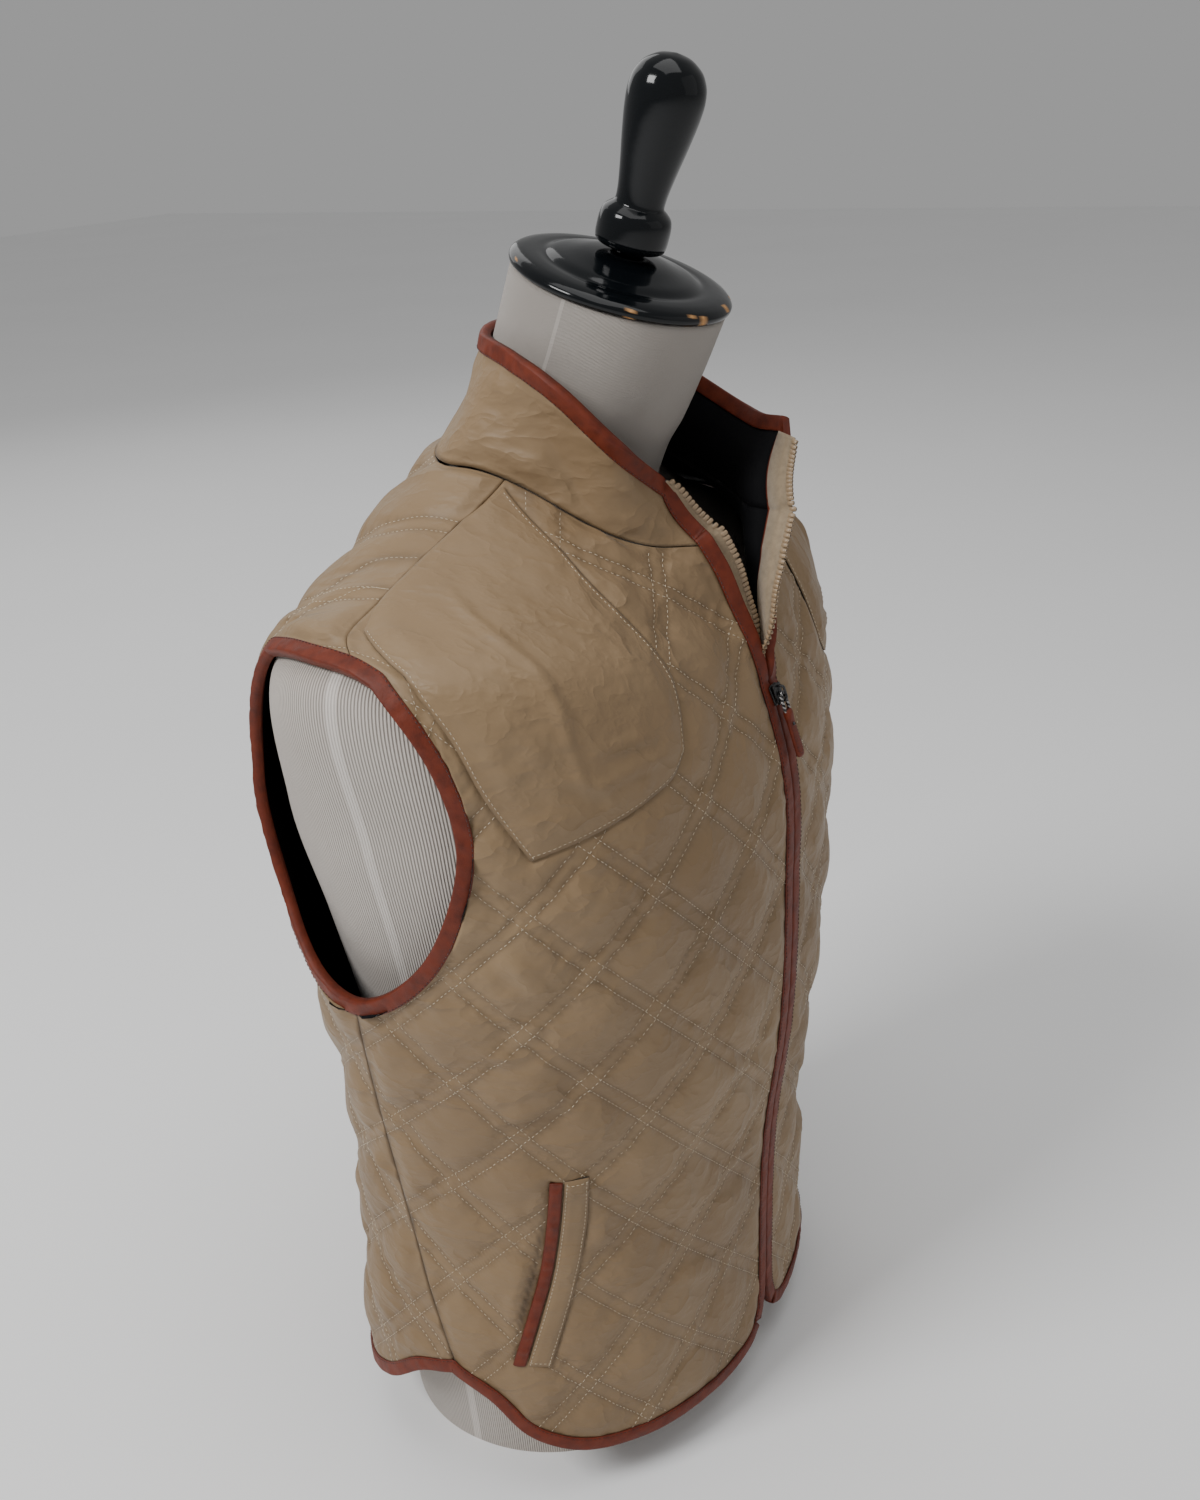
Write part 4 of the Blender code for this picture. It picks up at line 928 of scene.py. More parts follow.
class Cloth:
    """A fine cloth wall: outer grid with relief, plain inner grid, and what its trimmings need."""

    def __init__(self, sheet, size, skip, depth, relief=None, inner_relief=None, drop=0.0):
        columns, rows = size
        self.size, self.skip = size, skip
        self.u, self.v = np.meshgrid(np.linspace(0, 1, columns + 1), np.linspace(0, 1, rows + 1))
        base, self.normals = sheet(self.u, self.v), facing(sheet, self.u, self.v)
        self.along = edge_distances(base)
        height = np.zeros_like(self.u) if relief is None else relief(self)
        self.outer = base + self.normals * (height - drop)[..., None]
        inner_height = 0.0 if inner_relief is None else inner_relief(self)[::skip, ::skip, None]
        self.inner = (base - self.normals * (drop + depth))[::skip, ::skip]
        self.inner = self.inner - self.normals[::skip, ::skip] * inner_height

    def build(self, name, finishes, uv=None, values=None):
        columns, rows = self.size
        skip = self.skip
        fine = (columns + 1) * (rows + 1)
        faces = grid_faces(columns, rows)
        inside = grid_faces(columns // skip, rows // skip, fine, flip=True)
        rim = rim_faces(self.size, 0, fine, skip)
        marks = [0] * len(faces) + [len(finishes) - 1] * len(inside) + [0] * len(rim)
        points = np.concatenate((self.outer.reshape(-1, 3), self.inner.reshape(-1, 3)))
        flat = np.stack((self.along[0], self.along[2]), -1) if uv is None else uv
        flat = np.concatenate((flat.reshape(-1, 2), flat[::skip, ::skip].reshape(-1, 2)))
        full = {}
        for key, numbers in (values or {}).items():
            full[key] = np.concatenate((numbers.ravel(),
                                        np.zeros(self.inner.shape[0] * self.inner.shape[1])))
        full["inside"] = np.concatenate((np.zeros(fine), np.ones(len(flat) - fine)))
        thing = as_object(name, points, faces + inside + rim, finishes, marks, flat, full)
        turn_out(thing)
        return thing

    def at(self, u, v, lift=0.0):
        """Points and normals on the outer face at u, v."""
        columns, rows = self.size
        x, y = np.clip(u, 0, 1) * columns, np.clip(v, 0, 1) * rows
        i, j = np.minimum(x.astype(int), columns - 1), np.minimum(y.astype(int), rows - 1)
        a, b = (x - i)[:, None], (y - j)[:, None]

        def read(table):
            return ((1 - a) * (1 - b) * table[j, i] + a * (1 - b) * table[j, i + 1]
                    + (1 - a) * b * table[j + 1, i] + a * b * table[j + 1, i + 1])
        normal = unit(read(self.normals))
        return read(self.outer) + normal * lift, normal


def turn_out(thing):
    """Turns a closed mesh's faces outward."""
    bm = bmesh.new()
    bm.from_mesh(thing.data)
    if bm.calc_volume(signed=True) < 0:
        bmesh.ops.reverse_faces(bm, faces=bm.faces)
        bm.to_mesh(thing.data)
    bm.free()


def contour_lines(field, level):
    """Lines of one level through a grid, each a list of (row, column) places."""
    side = field - level
    side = np.where(side == 0, 1e-9, side)
    low = np.minimum(np.minimum(side[:-1, :-1], side[:-1, 1:]),
                     np.minimum(side[1:, :-1], side[1:, 1:]))
    high = np.maximum(np.maximum(side[:-1, :-1], side[:-1, 1:]),
                      np.maximum(side[1:, :-1], side[1:, 1:]))
    near, place = {}, {}
    for j, i in zip(*np.nonzero((low < 0) & (high > 0))):
        j, i = int(j), int(i)
        hits = []
        for kind, a, b in ((("h", j, i), (j, i), (j, i + 1)),
                           (("h", j + 1, i), (j + 1, i), (j + 1, i + 1)),
                           (("v", j, i), (j, i), (j + 1, i)),
                           (("v", j, i + 1), (j, i + 1), (j + 1, i + 1))):
            fa, fb = side[a], side[b]
            if fa * fb < 0:
                t = fa / (fa - fb)
                place[kind] = (a[0] + (b[0] - a[0]) * t, a[1] + (b[1] - a[1]) * t)
                hits.append(kind)
        if len(hits) == 2:
            near.setdefault(hits[0], []).append(hits[1])
            near.setdefault(hits[1], []).append(hits[0])
    lines = []
    while near:
        ends = [k for k, linked in near.items() if len(linked) == 1]
        here = ends[0] if ends else next(iter(near))
        chain = [here]
        while near.get(here):
            there = near[here].pop()
            near[there].remove(here)
            if not near[here]:
                near.pop(here)
            chain.append(there)
            here = there
        near.pop(here, None)
        lines.append(np.array([place[k] for k in chain]))
    return lines


def resampled(points, pitch):
    """Places along a polyline every pitch: fractional index and tangent index."""
    total = travelled(points)
    count = int(total[-1] / pitch)
    if count < 1:
        return np.zeros(0)
    return np.interp((np.arange(count) + 0.5) * pitch, total, np.arange(len(points)))


def read_line(points, where):
    i = np.minimum(where.astype(int), len(points) - 2)
    t = (where - i)[:, None]
    return points[i] * (1 - t) + points[i + 1] * t


def stitch_run(points, where, reach):
    """Middles of the stitches at places on a polyline, and the way each one runs."""
    ahead = read_line(points, np.minimum(where + reach, len(points) - 1.001))
    back = read_line(points, np.maximum(where - reach, 0))
    return read_line(points, where), ahead - back


STITCH_SHAPE = np.array(((-1.0, 0, -0.6), (-0.55, 1, 0), (-0.55, 0, 1), (-0.55, -1, 0),
                         (0.55, 1, 0), (0.55, 0, 1), (0.55, -1, 0), (1.0, 0, -0.6)))
STITCH_FACES = ((0, 1, 2), (0, 2, 3), (1, 4, 5, 2), (2, 5, 6, 3), (4, 7, 5), (5, 7, 6), (0, 3, 1),
                (1, 3, 6, 4), (4, 6, 7))


def stitches(name, rows, finish, length=0.0024, width=0.00045):
    """One mesh of stitches from rows of (centres, tangents, normals)."""
    centre = np.concatenate([r[0] for r in rows])
    along = unit(np.concatenate([r[1] for r in rows]))
    out = np.concatenate([r[2] for r in rows])
    aside = unit(np.cross(out, along))
    shape = STITCH_SHAPE * (length / 2, width / 2, width * 0.7)
    points = (centre[:, None] + shape[None, :, :1] * along[:, None] + shape[None, :,
                                                                            1:2] * aside[:, None]
              + shape[None, :, 2:] * out[:, None])
    base = np.arange(len(centre)) * len(STITCH_SHAPE)
    faces = [tuple(int(b) + k for k in face) for b in base for face in STITCH_FACES]
    return as_object(name, points.reshape(-1, 3), faces, [finish])


def stitch_rows(cloth, lines, pitch, lift, keep=None):
    """Rows of stitches on a cloth's outer face along lines of (v index, u index)."""
    columns, rows = cloth.size
    made = []
    for line in lines:
        if len(line) < 3:
            continue
        u, v = line[:, 1] / columns, line[:, 0] / rows
        points, normals = cloth.at(u, v, lift)
        where = resampled(points, pitch)
        if len(where) < 2:
            continue
        (centre, run), out = stitch_run(points, where, 0.5), read_line(normals, where)
        if keep is not None:
            good = keep(read_line(np.stack((u, v), -1), where))
            centre, run, out = centre[good], run[good], out[good]
        if len(centre):
            made.append((centre, run, out))
    return made


def strip(name, path, aside, outward, profile, finishes, closed=False, values=None):
    """Sweep with a smooth profile; a list of profiles gives one to each point."""
    profiles = np.array(profile if isinstance(profile, list) else [profile] * len(path))
    count, corners = profiles.shape[:2]
    points = (path[:, None] + profiles[..., :1] * aside[:, None] + profiles[...,
                                                                            1:] * outward[:, None])
    faces = loft_faces(corners, count, ring=closed)
    if not closed:
        faces += end_faces(corners, count)
    uv = np.stack(np.broadcast_arrays(travelled(profiles[0])[None, :], travelled(path)[:, None]),
                  -1).reshape(-1, 2)
    thing = as_object(name, points.reshape(-1, 3), faces, finishes, uv=uv, values=values)
    turn_out(thing)
    return thing


def ride(thing, body_name, slot, *nodes):
    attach(thing, body_name)
    if nodes:
        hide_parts(*nodes)
    return thing


# ---------------------------------------------------------------- quilting in full
PITCH = 0.0566              # between neighbouring quilting lines
ROW_HALF = 0.0045           # each line is sewn twice, this far either side
STITCH_PITCH = 0.0034


def flat_sides():
    """Flat-cloth across of the fronts and of the back, each read on over the shoulder."""
    grid = rings(ARC_STEPS[None, :], LEVELS[:, None], SECTIONS)
    chest = int(np.argmin(np.abs(LEVELS - CHEST)))
    quarter = len(ARC_STEPS) // 4
    near = slice(quarter, 3 * quarter + 1)
    total, widest = FLAT_ACROSS[chest, -1], FLAT_ACROSS[chest, 3 * quarter]
    fore, rear = FLAT_ACROSS.copy(), FLAT_ACROSS.copy()
    for row in range(chest + 1, len(LEVELS)):
        x = grid[row, :, 0]
        fore[row] = np.interp(x, grid[chest, near, 0], FLAT_ACROSS[chest, near])
        rear[row] = np.where(x < 0, -1, 1) * (total - np.abs(fore[row]) * (total - widest) / widest)
    return fore, rear


FLAT_FORE, FLAT_REAR = flat_sides()


def flat_place(where, rear=False):
    """Across and up in flat cloth for places in (phi, s)."""
    phi = (where[..., 0] + 180.0) % 360.0 - 180.0
    across = read_grid(FLAT_REAR if rear else FLAT_FORE, phi, where[..., 1])
    return across, read_grid(FLAT_UP, phi, where[..., 1])


def line_fields(where, rear=False):
    """How many quilting lines of either slant lie before each place."""
    across, up = flat_place(where, rear)
    x, y = np.abs(across) - QUILT_ORIGIN[0], up - QUILT_ORIGIN[1]
    return (x + y) / DIAMOND, (x - y) / DIAMOND


def from_line(field):
    """Distance in metres from the nearest line of one slant."""
    return np.abs(field - np.round(field)) * PITCH


def cushion(distance):
    """How the padding rises away from a stitched row, 0 to 1."""
    t = np.clip((distance - ROW_HALF) / (PITCH / 2 - ROW_HALF), 0, 1)
    return 1 - (1 - t)**2.4


def quilting(where, seed, rear=False):
    """Height of the quilted shell with its puckers, and how much painted shade each place gets
    beside the stitched rows.
    """
    across, up = flat_place(where, rear)
    falling, rising = line_fields(where, rear)
    d1, d2 = from_line(falling), from_line(rising)
    height = PUFF * ((cushion(d1) * cushion(d2))**0.8 - 0.30)
    side = 0.0 if rear else np.where(across < 0, 1.7, 0.0)
    along1, along2 = (np.abs(across) - up) / math.sqrt(2), (np.abs(across) + up) / math.sqrt(2)
    for distance, along, shift in ((d1, along1, 0.0), (d2, along2, 31.0)):
        ridge = np.exp(-(distance / 0.0028)**2)
        height = height + 0.0004 * ridge
        near = np.exp(-np.maximum(distance - ROW_HALF,
                                  0) / 0.0080) * np.minimum(distance / ROW_HALF, 1)
        pucker = lattice_noise(along / 0.0052 + shift + side * 9, distance / 0.020 + seed, seed)
        pucker = pucker + 0.6 * lattice_noise(along / 0.0105 + shift, distance / 0.03 + side,
                                              seed + 1)
        height = height + 0.00135 * near * pucker
    if rear:
        across = np.abs(across)
    broad = lattice_noise(across / 0.045 + side, up / 0.060, seed + 2)
    fine = lattice_noise((across + 0.4 * up) / 0.012, (up - 0.4 * across) / 0.030 + side, seed + 3)
    height = height + 0.0010 * broad + 0.00060 * fine * np.minimum(cushion(d1), cushion(d2))
    # painted shade along both sewn rows of each quilting line
    groove = np.exp(-((np.minimum(d1, d2) - ROW_HALF) / 0.0013)**2)
    return height, groove


def fold(x, y, start, end, width, depth, bend=0.0):
    """A soft ridge (or trough, if depth is negative) from start to end in flat cloth."""
    (ax, ay), (bx, by) = start, end
    length = math.hypot(bx - ax, by - ay)
    ux, uy = (bx - ax) / length, (by - ay) / length
    t = ((x - ax) * ux + (y - ay) * uy) / length
    off = -(x - ax) * uy + (y - ay) * ux - bend * length * 4 * t * (1 - t)
    taper = ease(np.clip(t / 0.35 + 0.2, 0, 1)) * ease(np.clip((1 - t) / 0.35 + 0.2, 0, 1))
    taper = taper * (t > -0.07) * (t < 1.07)
    side = np.exp(-(off / width)**2) - 0.55 * np.exp(-((off + 1.9 * width) / (1.3 * width))**2)
    return depth * taper * side


def edge_puckers(distance, along, seed, reach=0.016, pitch=0.0065, size=0.0011):
    """Gathers running in from a sewn edge."""
    wave = lattice_noise(along / pitch, distance / (2 * reach) + seed, seed)
    wave = wave + 0.6 * lattice_noise(along / (2.3 * pitch), distance / (2 * reach), seed + 7)
    return size * wave * np.exp(-distance / reach) * np.minimum(distance / 0.0016, 1)


def border(distance, flat=0.0006, soft=0.013):
    """0 at a bound or sewn edge, 1 on the quilting."""
    return ease((distance - flat) / soft)


# Folds of each front in flat cloth: across and up of both ends, width, depth, bend.
FRONT_FOLDS = (
    ((0.016, 0.262), (0.075, 0.300), 0.0065, 0.0026, 0.10),
    ((0.018, 0.300), (0.062, 0.318), 0.0050, 0.0020, -0.08),
    ((0.020, 0.214), (0.085, 0.200), 0.0060, 0.0022, 0.06),
    ((0.150, 0.228), (0.212, 0.262), 0.0070, 0.0030, 0.08),
    ((0.140, 0.196), (0.180, 0.222), 0.0055, 0.0022, -0.06),
    ((0.186, 0.320), (0.236, 0.296), 0.0065, 0.0026, 0.05),
    ((0.205, 0.360), (0.245, 0.352), 0.0050, 0.0018, 0.00),
    ((0.060, 0.130), (0.108, 0.150), 0.0060, 0.0018, 0.05),
    ((0.196, 0.395), (0.222, 0.430), 0.0050, 0.0020, 0.00))
BACK_FOLDS = (
    ((0.250, 0.225), (0.330, 0.250), 0.0075, 0.0030, 0.07),
    ((0.262, 0.262), (0.318, 0.270), 0.0060, 0.0022, -0.05),
    ((0.400, 0.255), (0.470, 0.232), 0.0080, 0.0030, 0.06),
    ((0.255, 0.330), (0.300, 0.300), 0.0060, 0.0026, 0.04),
    ((0.350, 0.180), (0.420, 0.200), 0.0065, 0.0020, 0.05),
    ((0.262, 0.395), (0.300, 0.420), 0.0055, 0.0022, 0.00))


DEEPEST = 0.0020            # lowest that a trough goes, over the lining's face below it
EASED = 0.0010              # height over DEEPEST at which a trough starts to level out


def shallow(height):
    """Height with its troughs eased to a stop at DEEPEST."""
    over = height + DEEPEST
    levelled = EASED * np.exp(np.minimum(over / EASED - 1, 0)) - DEEPEST
    return np.where(over > EASED, height, levelled)


def pocket_mouth(across, up):
    """Painted shade and height of the open mouth behind a pocket's leather edge."""
    phi, s = np.moveaxis(curve(WELT_BACK)(np.linspace(0, 1, 25)), -1, 0)
    line = np.stack((np.abs(read_grid(FLAT_FORE, phi, s)), read_grid(FLAT_UP, phi, s)), -1)
    line = line[np.argsort(line[:, 1])]
    behind = across - np.interp(up, line[:, 1], line[:, 0])
    run = np.clip((up - line[0, 1]) / (line[-1, 1] - line[0, 1]), 0, 1)
    wide = np.sin(math.pi * run**0.8)**0.7
    dark = ease((0.0075 * wide - behind) / 0.003) * (behind > -0.002) * (wide > 0.05)
    lip = np.exp(-((behind - 0.0075 * wide - 0.0045) / 0.004)**2) * wide
    return dark, 0.0017 * lip - 0.0012 * dark


def front_height(place, side, seed):
    def relief(cloth):
        where = place(cloth.u, cloth.v)
        phi, s = -np.abs(where[..., 0]), where[..., 1]
        mirrored = np.stack((phi, s), -1)
        height, cloth.groove = quilting(np.stack((phi * -side, s), -1), seed)
        across, up = flat_place(mirrored)
        across = np.abs(across)
        for k, (start, end, width, depth, bend) in enumerate(FRONT_FOLDS):
            shift = 0.0 if side < 0 else 0.006 * math.sin(2.1 * k + 1)
            start, end = (start[0], start[1] + shift), (end[0], end[1] - shift)
            height = height + fold(across, up, start, end, width, depth, bend)
        left, right, foot, head = cloth.along
        edge, seam = (left, right) if side < 0 else (right, left)
        patch = cover(PATCH_RING, phi, s, 0.004)
        welt = cover(WELT_RING, phi, s, 0.004)
        inside = np.minimum(np.minimum(border(edge), border(foot)), border(seam)) * border(head)
        height = height * inside
        height = height + edge_puckers(edge, up, seed + 11, size=0.0009)
        height = height + edge_puckers(foot, across, seed + 12, size=0.0008)
        height = height + edge_puckers(seam, up + across * (cloth.v > UNDERARM), seed + 13,
                                       reach=0.014, size=0.0012)
        at_neck = np.abs(phi) < 62
        height = height + edge_puckers(head, across, seed + 14, reach=0.020, pitch=0.0085,
                                       size=np.where(at_neck, 0.0014, 0.0005))
        cover_ = np.maximum(patch, welt)
        near = np.maximum(cover(PATCH_RING, phi, s, 0.016), cover(WELT_RING, phi, s, 0.012))
        flat_beside = 0.0003 + np.clip(height, -0.0002, 0.0004)
        height = height * (1 - near) + flat_beside * near
        at_armhole = cloth.v > UNDERARM
        height = height + edge_puckers(seam, up + across, seed + 15, reach=0.020, pitch=0.0055,
                                       size=0.0026) * at_armhole * near
        height = height * (1 - cover_) - PRESSED * cover_ * ease(head / 0.010)
        # Painted shade: the rows' shade is kept off laid-on pieces, and a line of it runs down the
        # side seam below the underarm.
        groove = cloth.groove * (1 - cover_)
        seam_shade = np.where(cloth.v < UNDERARM, np.exp(-(seam / 0.0015)**2), 0.0)
        cloth.groove = np.maximum(groove * 0.42, 0.7 * seam_shade)
        # painted shade in the open mouth behind each pocket's leather edge
        dark, shape = pocket_mouth(across, up)
        cloth.groove = np.maximum(cloth.groove, 0.95 * dark * (1 - cover_))
        height = np.where(cover_ > 0, height, shallow(height + shape))
        return height
    return relief


def back_height(place, seed):
    def relief(cloth):
        where = place(cloth.u, cloth.v)
        height, cloth.groove = quilting(where, seed, rear=True)
        across, up = flat_place(where, rear=True)
        for k, (start, end, width, depth, bend) in enumerate(BACK_FOLDS):
            height = height + fold(np.abs(across) + 0.004 * np.sin(9 * k + np.sign(across)), up,
                                   start, end, width, depth, bend)
        left, right, foot, head = cloth.along
        seam = np.minimum(left, right)
        low = cloth.v < UNDERARM
        height = height * np.minimum(border(seam), border(foot)) * border(head)
        height = height + edge_puckers(seam, up, seed + 13, reach=0.014, size=0.0012)
        height = height + edge_puckers(foot, across, seed + 12, size=0.0008)
        height = height + edge_puckers(head, across, seed + 14, reach=0.018, pitch=0.0085,
                                       size=0.0006)
        # painted shade along the stitched rows, and down the side seams below the underarm
        cloth.groove = np.maximum(cloth.groove * 0.42,
                                  0.7 * np.where(low, np.exp(-(seam / 0.0015)**2), 0.0))
        return shallow(height)
    return relief


FINE = {"front": (120, 256), "back": (240, 256)}
SKIP = 4


def quilt_lines(place, size, rear=False):
    """Both stitched rows of every quilting line, as lines of (row, column) on a panel's grid."""
    u, v = np.meshgrid(np.linspace(0, 1, size[0] + 1), np.linspace(0, 1, size[1] + 1))
    found = []
    for field in line_fields(place(u, v), rear):
        for k in range(math.floor(field.min()), math.ceil(field.max()) + 1):
            for side in (-1, 1):
                found += contour_lines(field, k + side * ROW_HALF / PITCH)
    return [line for line in found if len(line) >= 12]


def clear_of_edges(cloth, place, front, margin=0.0012):
    """Test for places on a panel that no binding, patch or welt covers."""
    left, right, foot, head = cloth.along
    columns, rows = cloth.size

    def keep(places):
        u, v = places[:, 0], places[:, 1]
        i = np.clip((u * columns).round().astype(int), 0, columns)
        j = np.clip((v * rows).round().astype(int), 0, rows)
        sides = [left[j, i], right[j, i]]
        seam = np.minimum(*sides) if front == 0 else sides[1 if front < 0 else 0]
        edge = np.full(len(u), 1.0) if front == 0 else sides[0 if front < 0 else 1]
        good = (seam > margin) & (edge > margin) & (foot[j, i] > margin)
        good &= head[j, i] > 0.0012
        if front:
            where = place(u, v)
            phi, s = -np.abs(where[..., 0]), where[..., 1]
            good &= np.maximum(cover(PATCH_RING, phi, s, 0.001),
                               cover(WELT_RING, phi, s, 0.001)) < 0.5
        return good
    return keep


def build_panels(shell, lining, thread):
    for side, word in SIDES.items():
        place = front_patch(side)
        cloth = Cloth(on_body(place, side), FINE["front"], SKIP, QUILT_THICK,
                      front_height(place, side, 5))
        thing = cloth.build("front_" + word + "_quilted", [shell, lining],
                            values={"painted_shade": cloth.groove})
        ride(thing, "vest", "shell", "front_" + word)
        rows = stitch_rows(cloth, quilt_lines(place, cloth.size), STITCH_PITCH, -0.00005,
                           clear_of_edges(cloth, place, side))
        ride(stitches("front_" + word + "_stitches", rows, thread), "vest", "shell")
    place = back_patch()
    cloth = Cloth(on_body(place, 0), FINE["back"], SKIP, QUILT_THICK, back_height(place, 23))
    thing = cloth.build("back_quilted", [shell, lining], values={"painted_shade": cloth.groove})
    ride(thing, "vest", "shell", "back")
    rows = stitch_rows(cloth, quilt_lines(place, cloth.size, True), STITCH_PITCH, -0.00005,
                       clear_of_edges(cloth, place, 0))
    ride(stitches("back_stitches", rows, thread), "vest", "shell")


# ---------------------------------------------------------------- collar
def collar_height(cloth):
    left, _, foot, head = cloth.along
    folds = 0.0030 * lattice_noise(left / 0.040 + 0.55 * foot / 0.040, foot / 0.09, 41)
    folds = folds + 0.0013 * lattice_noise(left / 0.016 - 0.8 * foot / 0.016, foot / 0.05, 42)
    shape = np.minimum.reduce([border(edge) for edge in cloth.along])
    height = folds * shape + 0.0008 * shape
    height = height + edge_puckers(foot, left, 43, reach=0.010, pitch=0.0075, size=0.0014)
    height = height + edge_puckers(head, left, 44, reach=0.010, size=0.0010)
    # painted shade along the collar's foot, where it meets the neckline
    cloth.groove = 0.5 * np.exp(-(foot / 0.0010)**2)
    return height


def collar_inside(cloth):
    left, _, foot, _ = cloth.along
    shape = np.minimum.reduce([border(edge) for edge in cloth.along])
    waves = 0.0012 * lattice_noise(left / 0.030, foot / 0.05, 45)
    return (waves + 0.0004) * shape


def build_collar(shell, lining):
    cloth = Cloth(collar_sheet, (200, 24), 2, COLLAR_THICK, collar_height, collar_inside)
    thing = cloth.build("collar_cloth", [shell, lining], values={"painted_shade": cloth.groove})
    ride(thing, "vest", "shell", "collar")


# ---------------------------------------------------------------- shoulder patches and pockets
def patch_place(side):
    place = coons(curve(PATCH_FOOT), curve(PATCH_TOP), backward(curve(PATCH_INNER)),
                  curve(PATCH_OUTER))
    if side < 0:
        return place
    return lambda u, v: place(1 - u, v) * np.array((-1.0, 1.0))


PATCH_OVER = 0.0005         # edge of a laid-on patch over the sheet it lies on


# Creases of a shoulder patch, from its inner edge and foot: both ends, width and depth.
PATCH_CREASES = (((0.018, 0.016), (0.080, 0.024), 0.0032, 0.0016),
                 ((0.030, 0.030), (0.075, 0.044), 0.0030, 0.0013),
                 ((0.060, 0.010), (0.095, 0.040), 0.0034, 0.0016),
                 ((0.075, 0.060), (0.085, 0.110), 0.0035, 0.0014),
                 ((0.020, 0.070), (0.040, 0.120), 0.0040, 0.0010))


def patch_height(side, seed):
    def relief(cloth):
        left, right, foot, head = cloth.along
        inner, outer = (left, right) if side < 0 else (right, left)
        nearest = np.minimum(np.minimum(inner, outer), np.minimum(foot, head))
        sewn = np.minimum(np.minimum(inner, outer), foot)
        puff = 0.0022 * ease(sewn / 0.016)
        u = cloth.u if side < 0 else 1 - cloth.u
        ridge = 0.0019 * np.exp(-((u - 0.62 + 0.10 * (cloth.v - 0.5)) / 0.024)**2) * ease(cloth.v
                                                                                          / 0.25)
        ridge = ridge * ease((0.93 - cloth.v) / 0.2)
        creases = 0.0
        for start, end, width, depth in PATCH_CREASES:
            creases = creases + fold(inner, foot, start, end, width, depth, 0.05)
        rough = 0.0007 * lattice_noise(inner / 0.018, foot / 0.05, seed)
        rough = rough + 0.0004 * lattice_noise(inner / 0.009, foot / 0.02, seed + 1)
        shape = ease(nearest / 0.008)
        height = puff + (ridge + creases + rough) * shape
        for distance, along, k in ((outer, foot, 2), (foot, inner, 3), (inner, foot, 4)):
            height = height + edge_puckers(distance, along, seed + k, reach=0.007, pitch=0.007,
                                           size=0.0006) * ease(distance / 0.002)
        # painted shade along the patch's sewn edges
        cloth.groove = 0.35 * np.exp(-(sewn / 0.0015)**2)
        return np.maximum(height, 0.0)
    return relief


TRIM_PITCH = 0.0030         # between stitches on leather, patches and welts
TRIM_LENGTH = 0.0022
PATCH_ROW = 0.0022          # from a patch's edge to its stitches


def build_patches(shell, thread):
    for side, word in SIDES.items():
        place = patch_place(side)
        cloth = Cloth(on_body(place, side), (64, 80), 4, PATCH_THICK, patch_height(side, 61),
                      drop=-PATCH_OVER)
        thing = cloth.build("shoulder_patch_" + word + "_cloth", [shell, shell],
                            values={"painted_shade": cloth.groove})
        ride(thing, "vest", "shell", "shoulder_patch_" + word)
        left, right, foot = cloth.along[:3]
        inner, outer = (left, right) if side < 0 else (right, left)
        rows = []
        for field in (outer, foot, inner):
            rows += contour_lines(field, PATCH_ROW)
        trimmed = stitch_rows(cloth, rows, TRIM_PITCH, 0.0)
        ride(stitches("shoulder_patch_" + word + "_topstitch", trimmed, thread, TRIM_LENGTH,
                      0.0004),
             "vest", "shell")


def welt_height(cloth):
    left, right, foot, head = cloth.along
    nearest = np.minimum(left, right)
    height = 0.0012 * ease(nearest / 0.005) + 0.0007 * lattice_noise(left / 0.02, foot / 0.011, 71)
    # painted shade along the welt's long edges
    cloth.groove = 0.3 * np.exp(-(nearest / 0.001)**2)
    return height * ease(np.minimum(foot, head) / 0.004) * ease(nearest / 0.002)


def trim_height(cloth):
    left, right, foot = cloth.along[:3]
    nearest = np.minimum(left, right)
    height = 0.0011 * np.sin(math.pi * cloth.u)**0.6
    height = height + 0.00045 * lattice_noise(foot / 0.004, left / 0.02, 73) * ease(nearest / 0.002)
    # painted shade along the leather trim's long edges
    cloth.groove = 0.5 * np.exp(-(nearest / 0.0008)**2)
    return height


def build_pockets(shell, leather, thread):
    for side, word in SIDES.items():
        welt = band_patch(curve(WELT_FRONT), curve(WELT_EDGE), side)
        trim = band_patch(curve(WELT_EDGE), curve(WELT_BACK), side)

        def trim_inset(u, v):
            return trim(0.12 + 0.88 * u, v) if side < 0 else trim(0.88 * u, v)
        cloth = Cloth(on_body(welt, side), (12, 96), 4, WELT_THICK, welt_height, drop=-0.0007)
        thing = cloth.build("pocket_welt_" + word + "_cloth", [shell],
                            values={"painted_shade": cloth.groove})
        ride(thing, "vest", "shell", "pocket_welt_" + word)
        rows = []
        for field in cloth.along[:2]:
            rows += contour_lines(field, 0.0016)
        rows += contour_lines(np.minimum(cloth.along[2], cloth.along[3]), 0.003)
        trimmed = stitch_rows(cloth, rows, TRIM_PITCH, 0.0)
        ride(stitches("pocket_welt_" + word + "_stitches", trimmed, thread, TRIM_LENGTH, 0.0004),
             "vest", "shell")
        cloth = Cloth(on_body(trim_inset, side), (12, 160), 4, WELT_THICK, trim_height,
                      drop=-0.0007)
        thing = cloth.build("pocket_binding_" + word + "_leather", [leather],
                            values={"painted_shade": cloth.groove})
        ride(thing, "vest", "leather", "pocket_binding_" + word)


# ---------------------------------------------------------------- leather bindings
LIP = 0.0010                # how far a binding's lips reach over the cloth
LEATHER_THICK = 0.0007


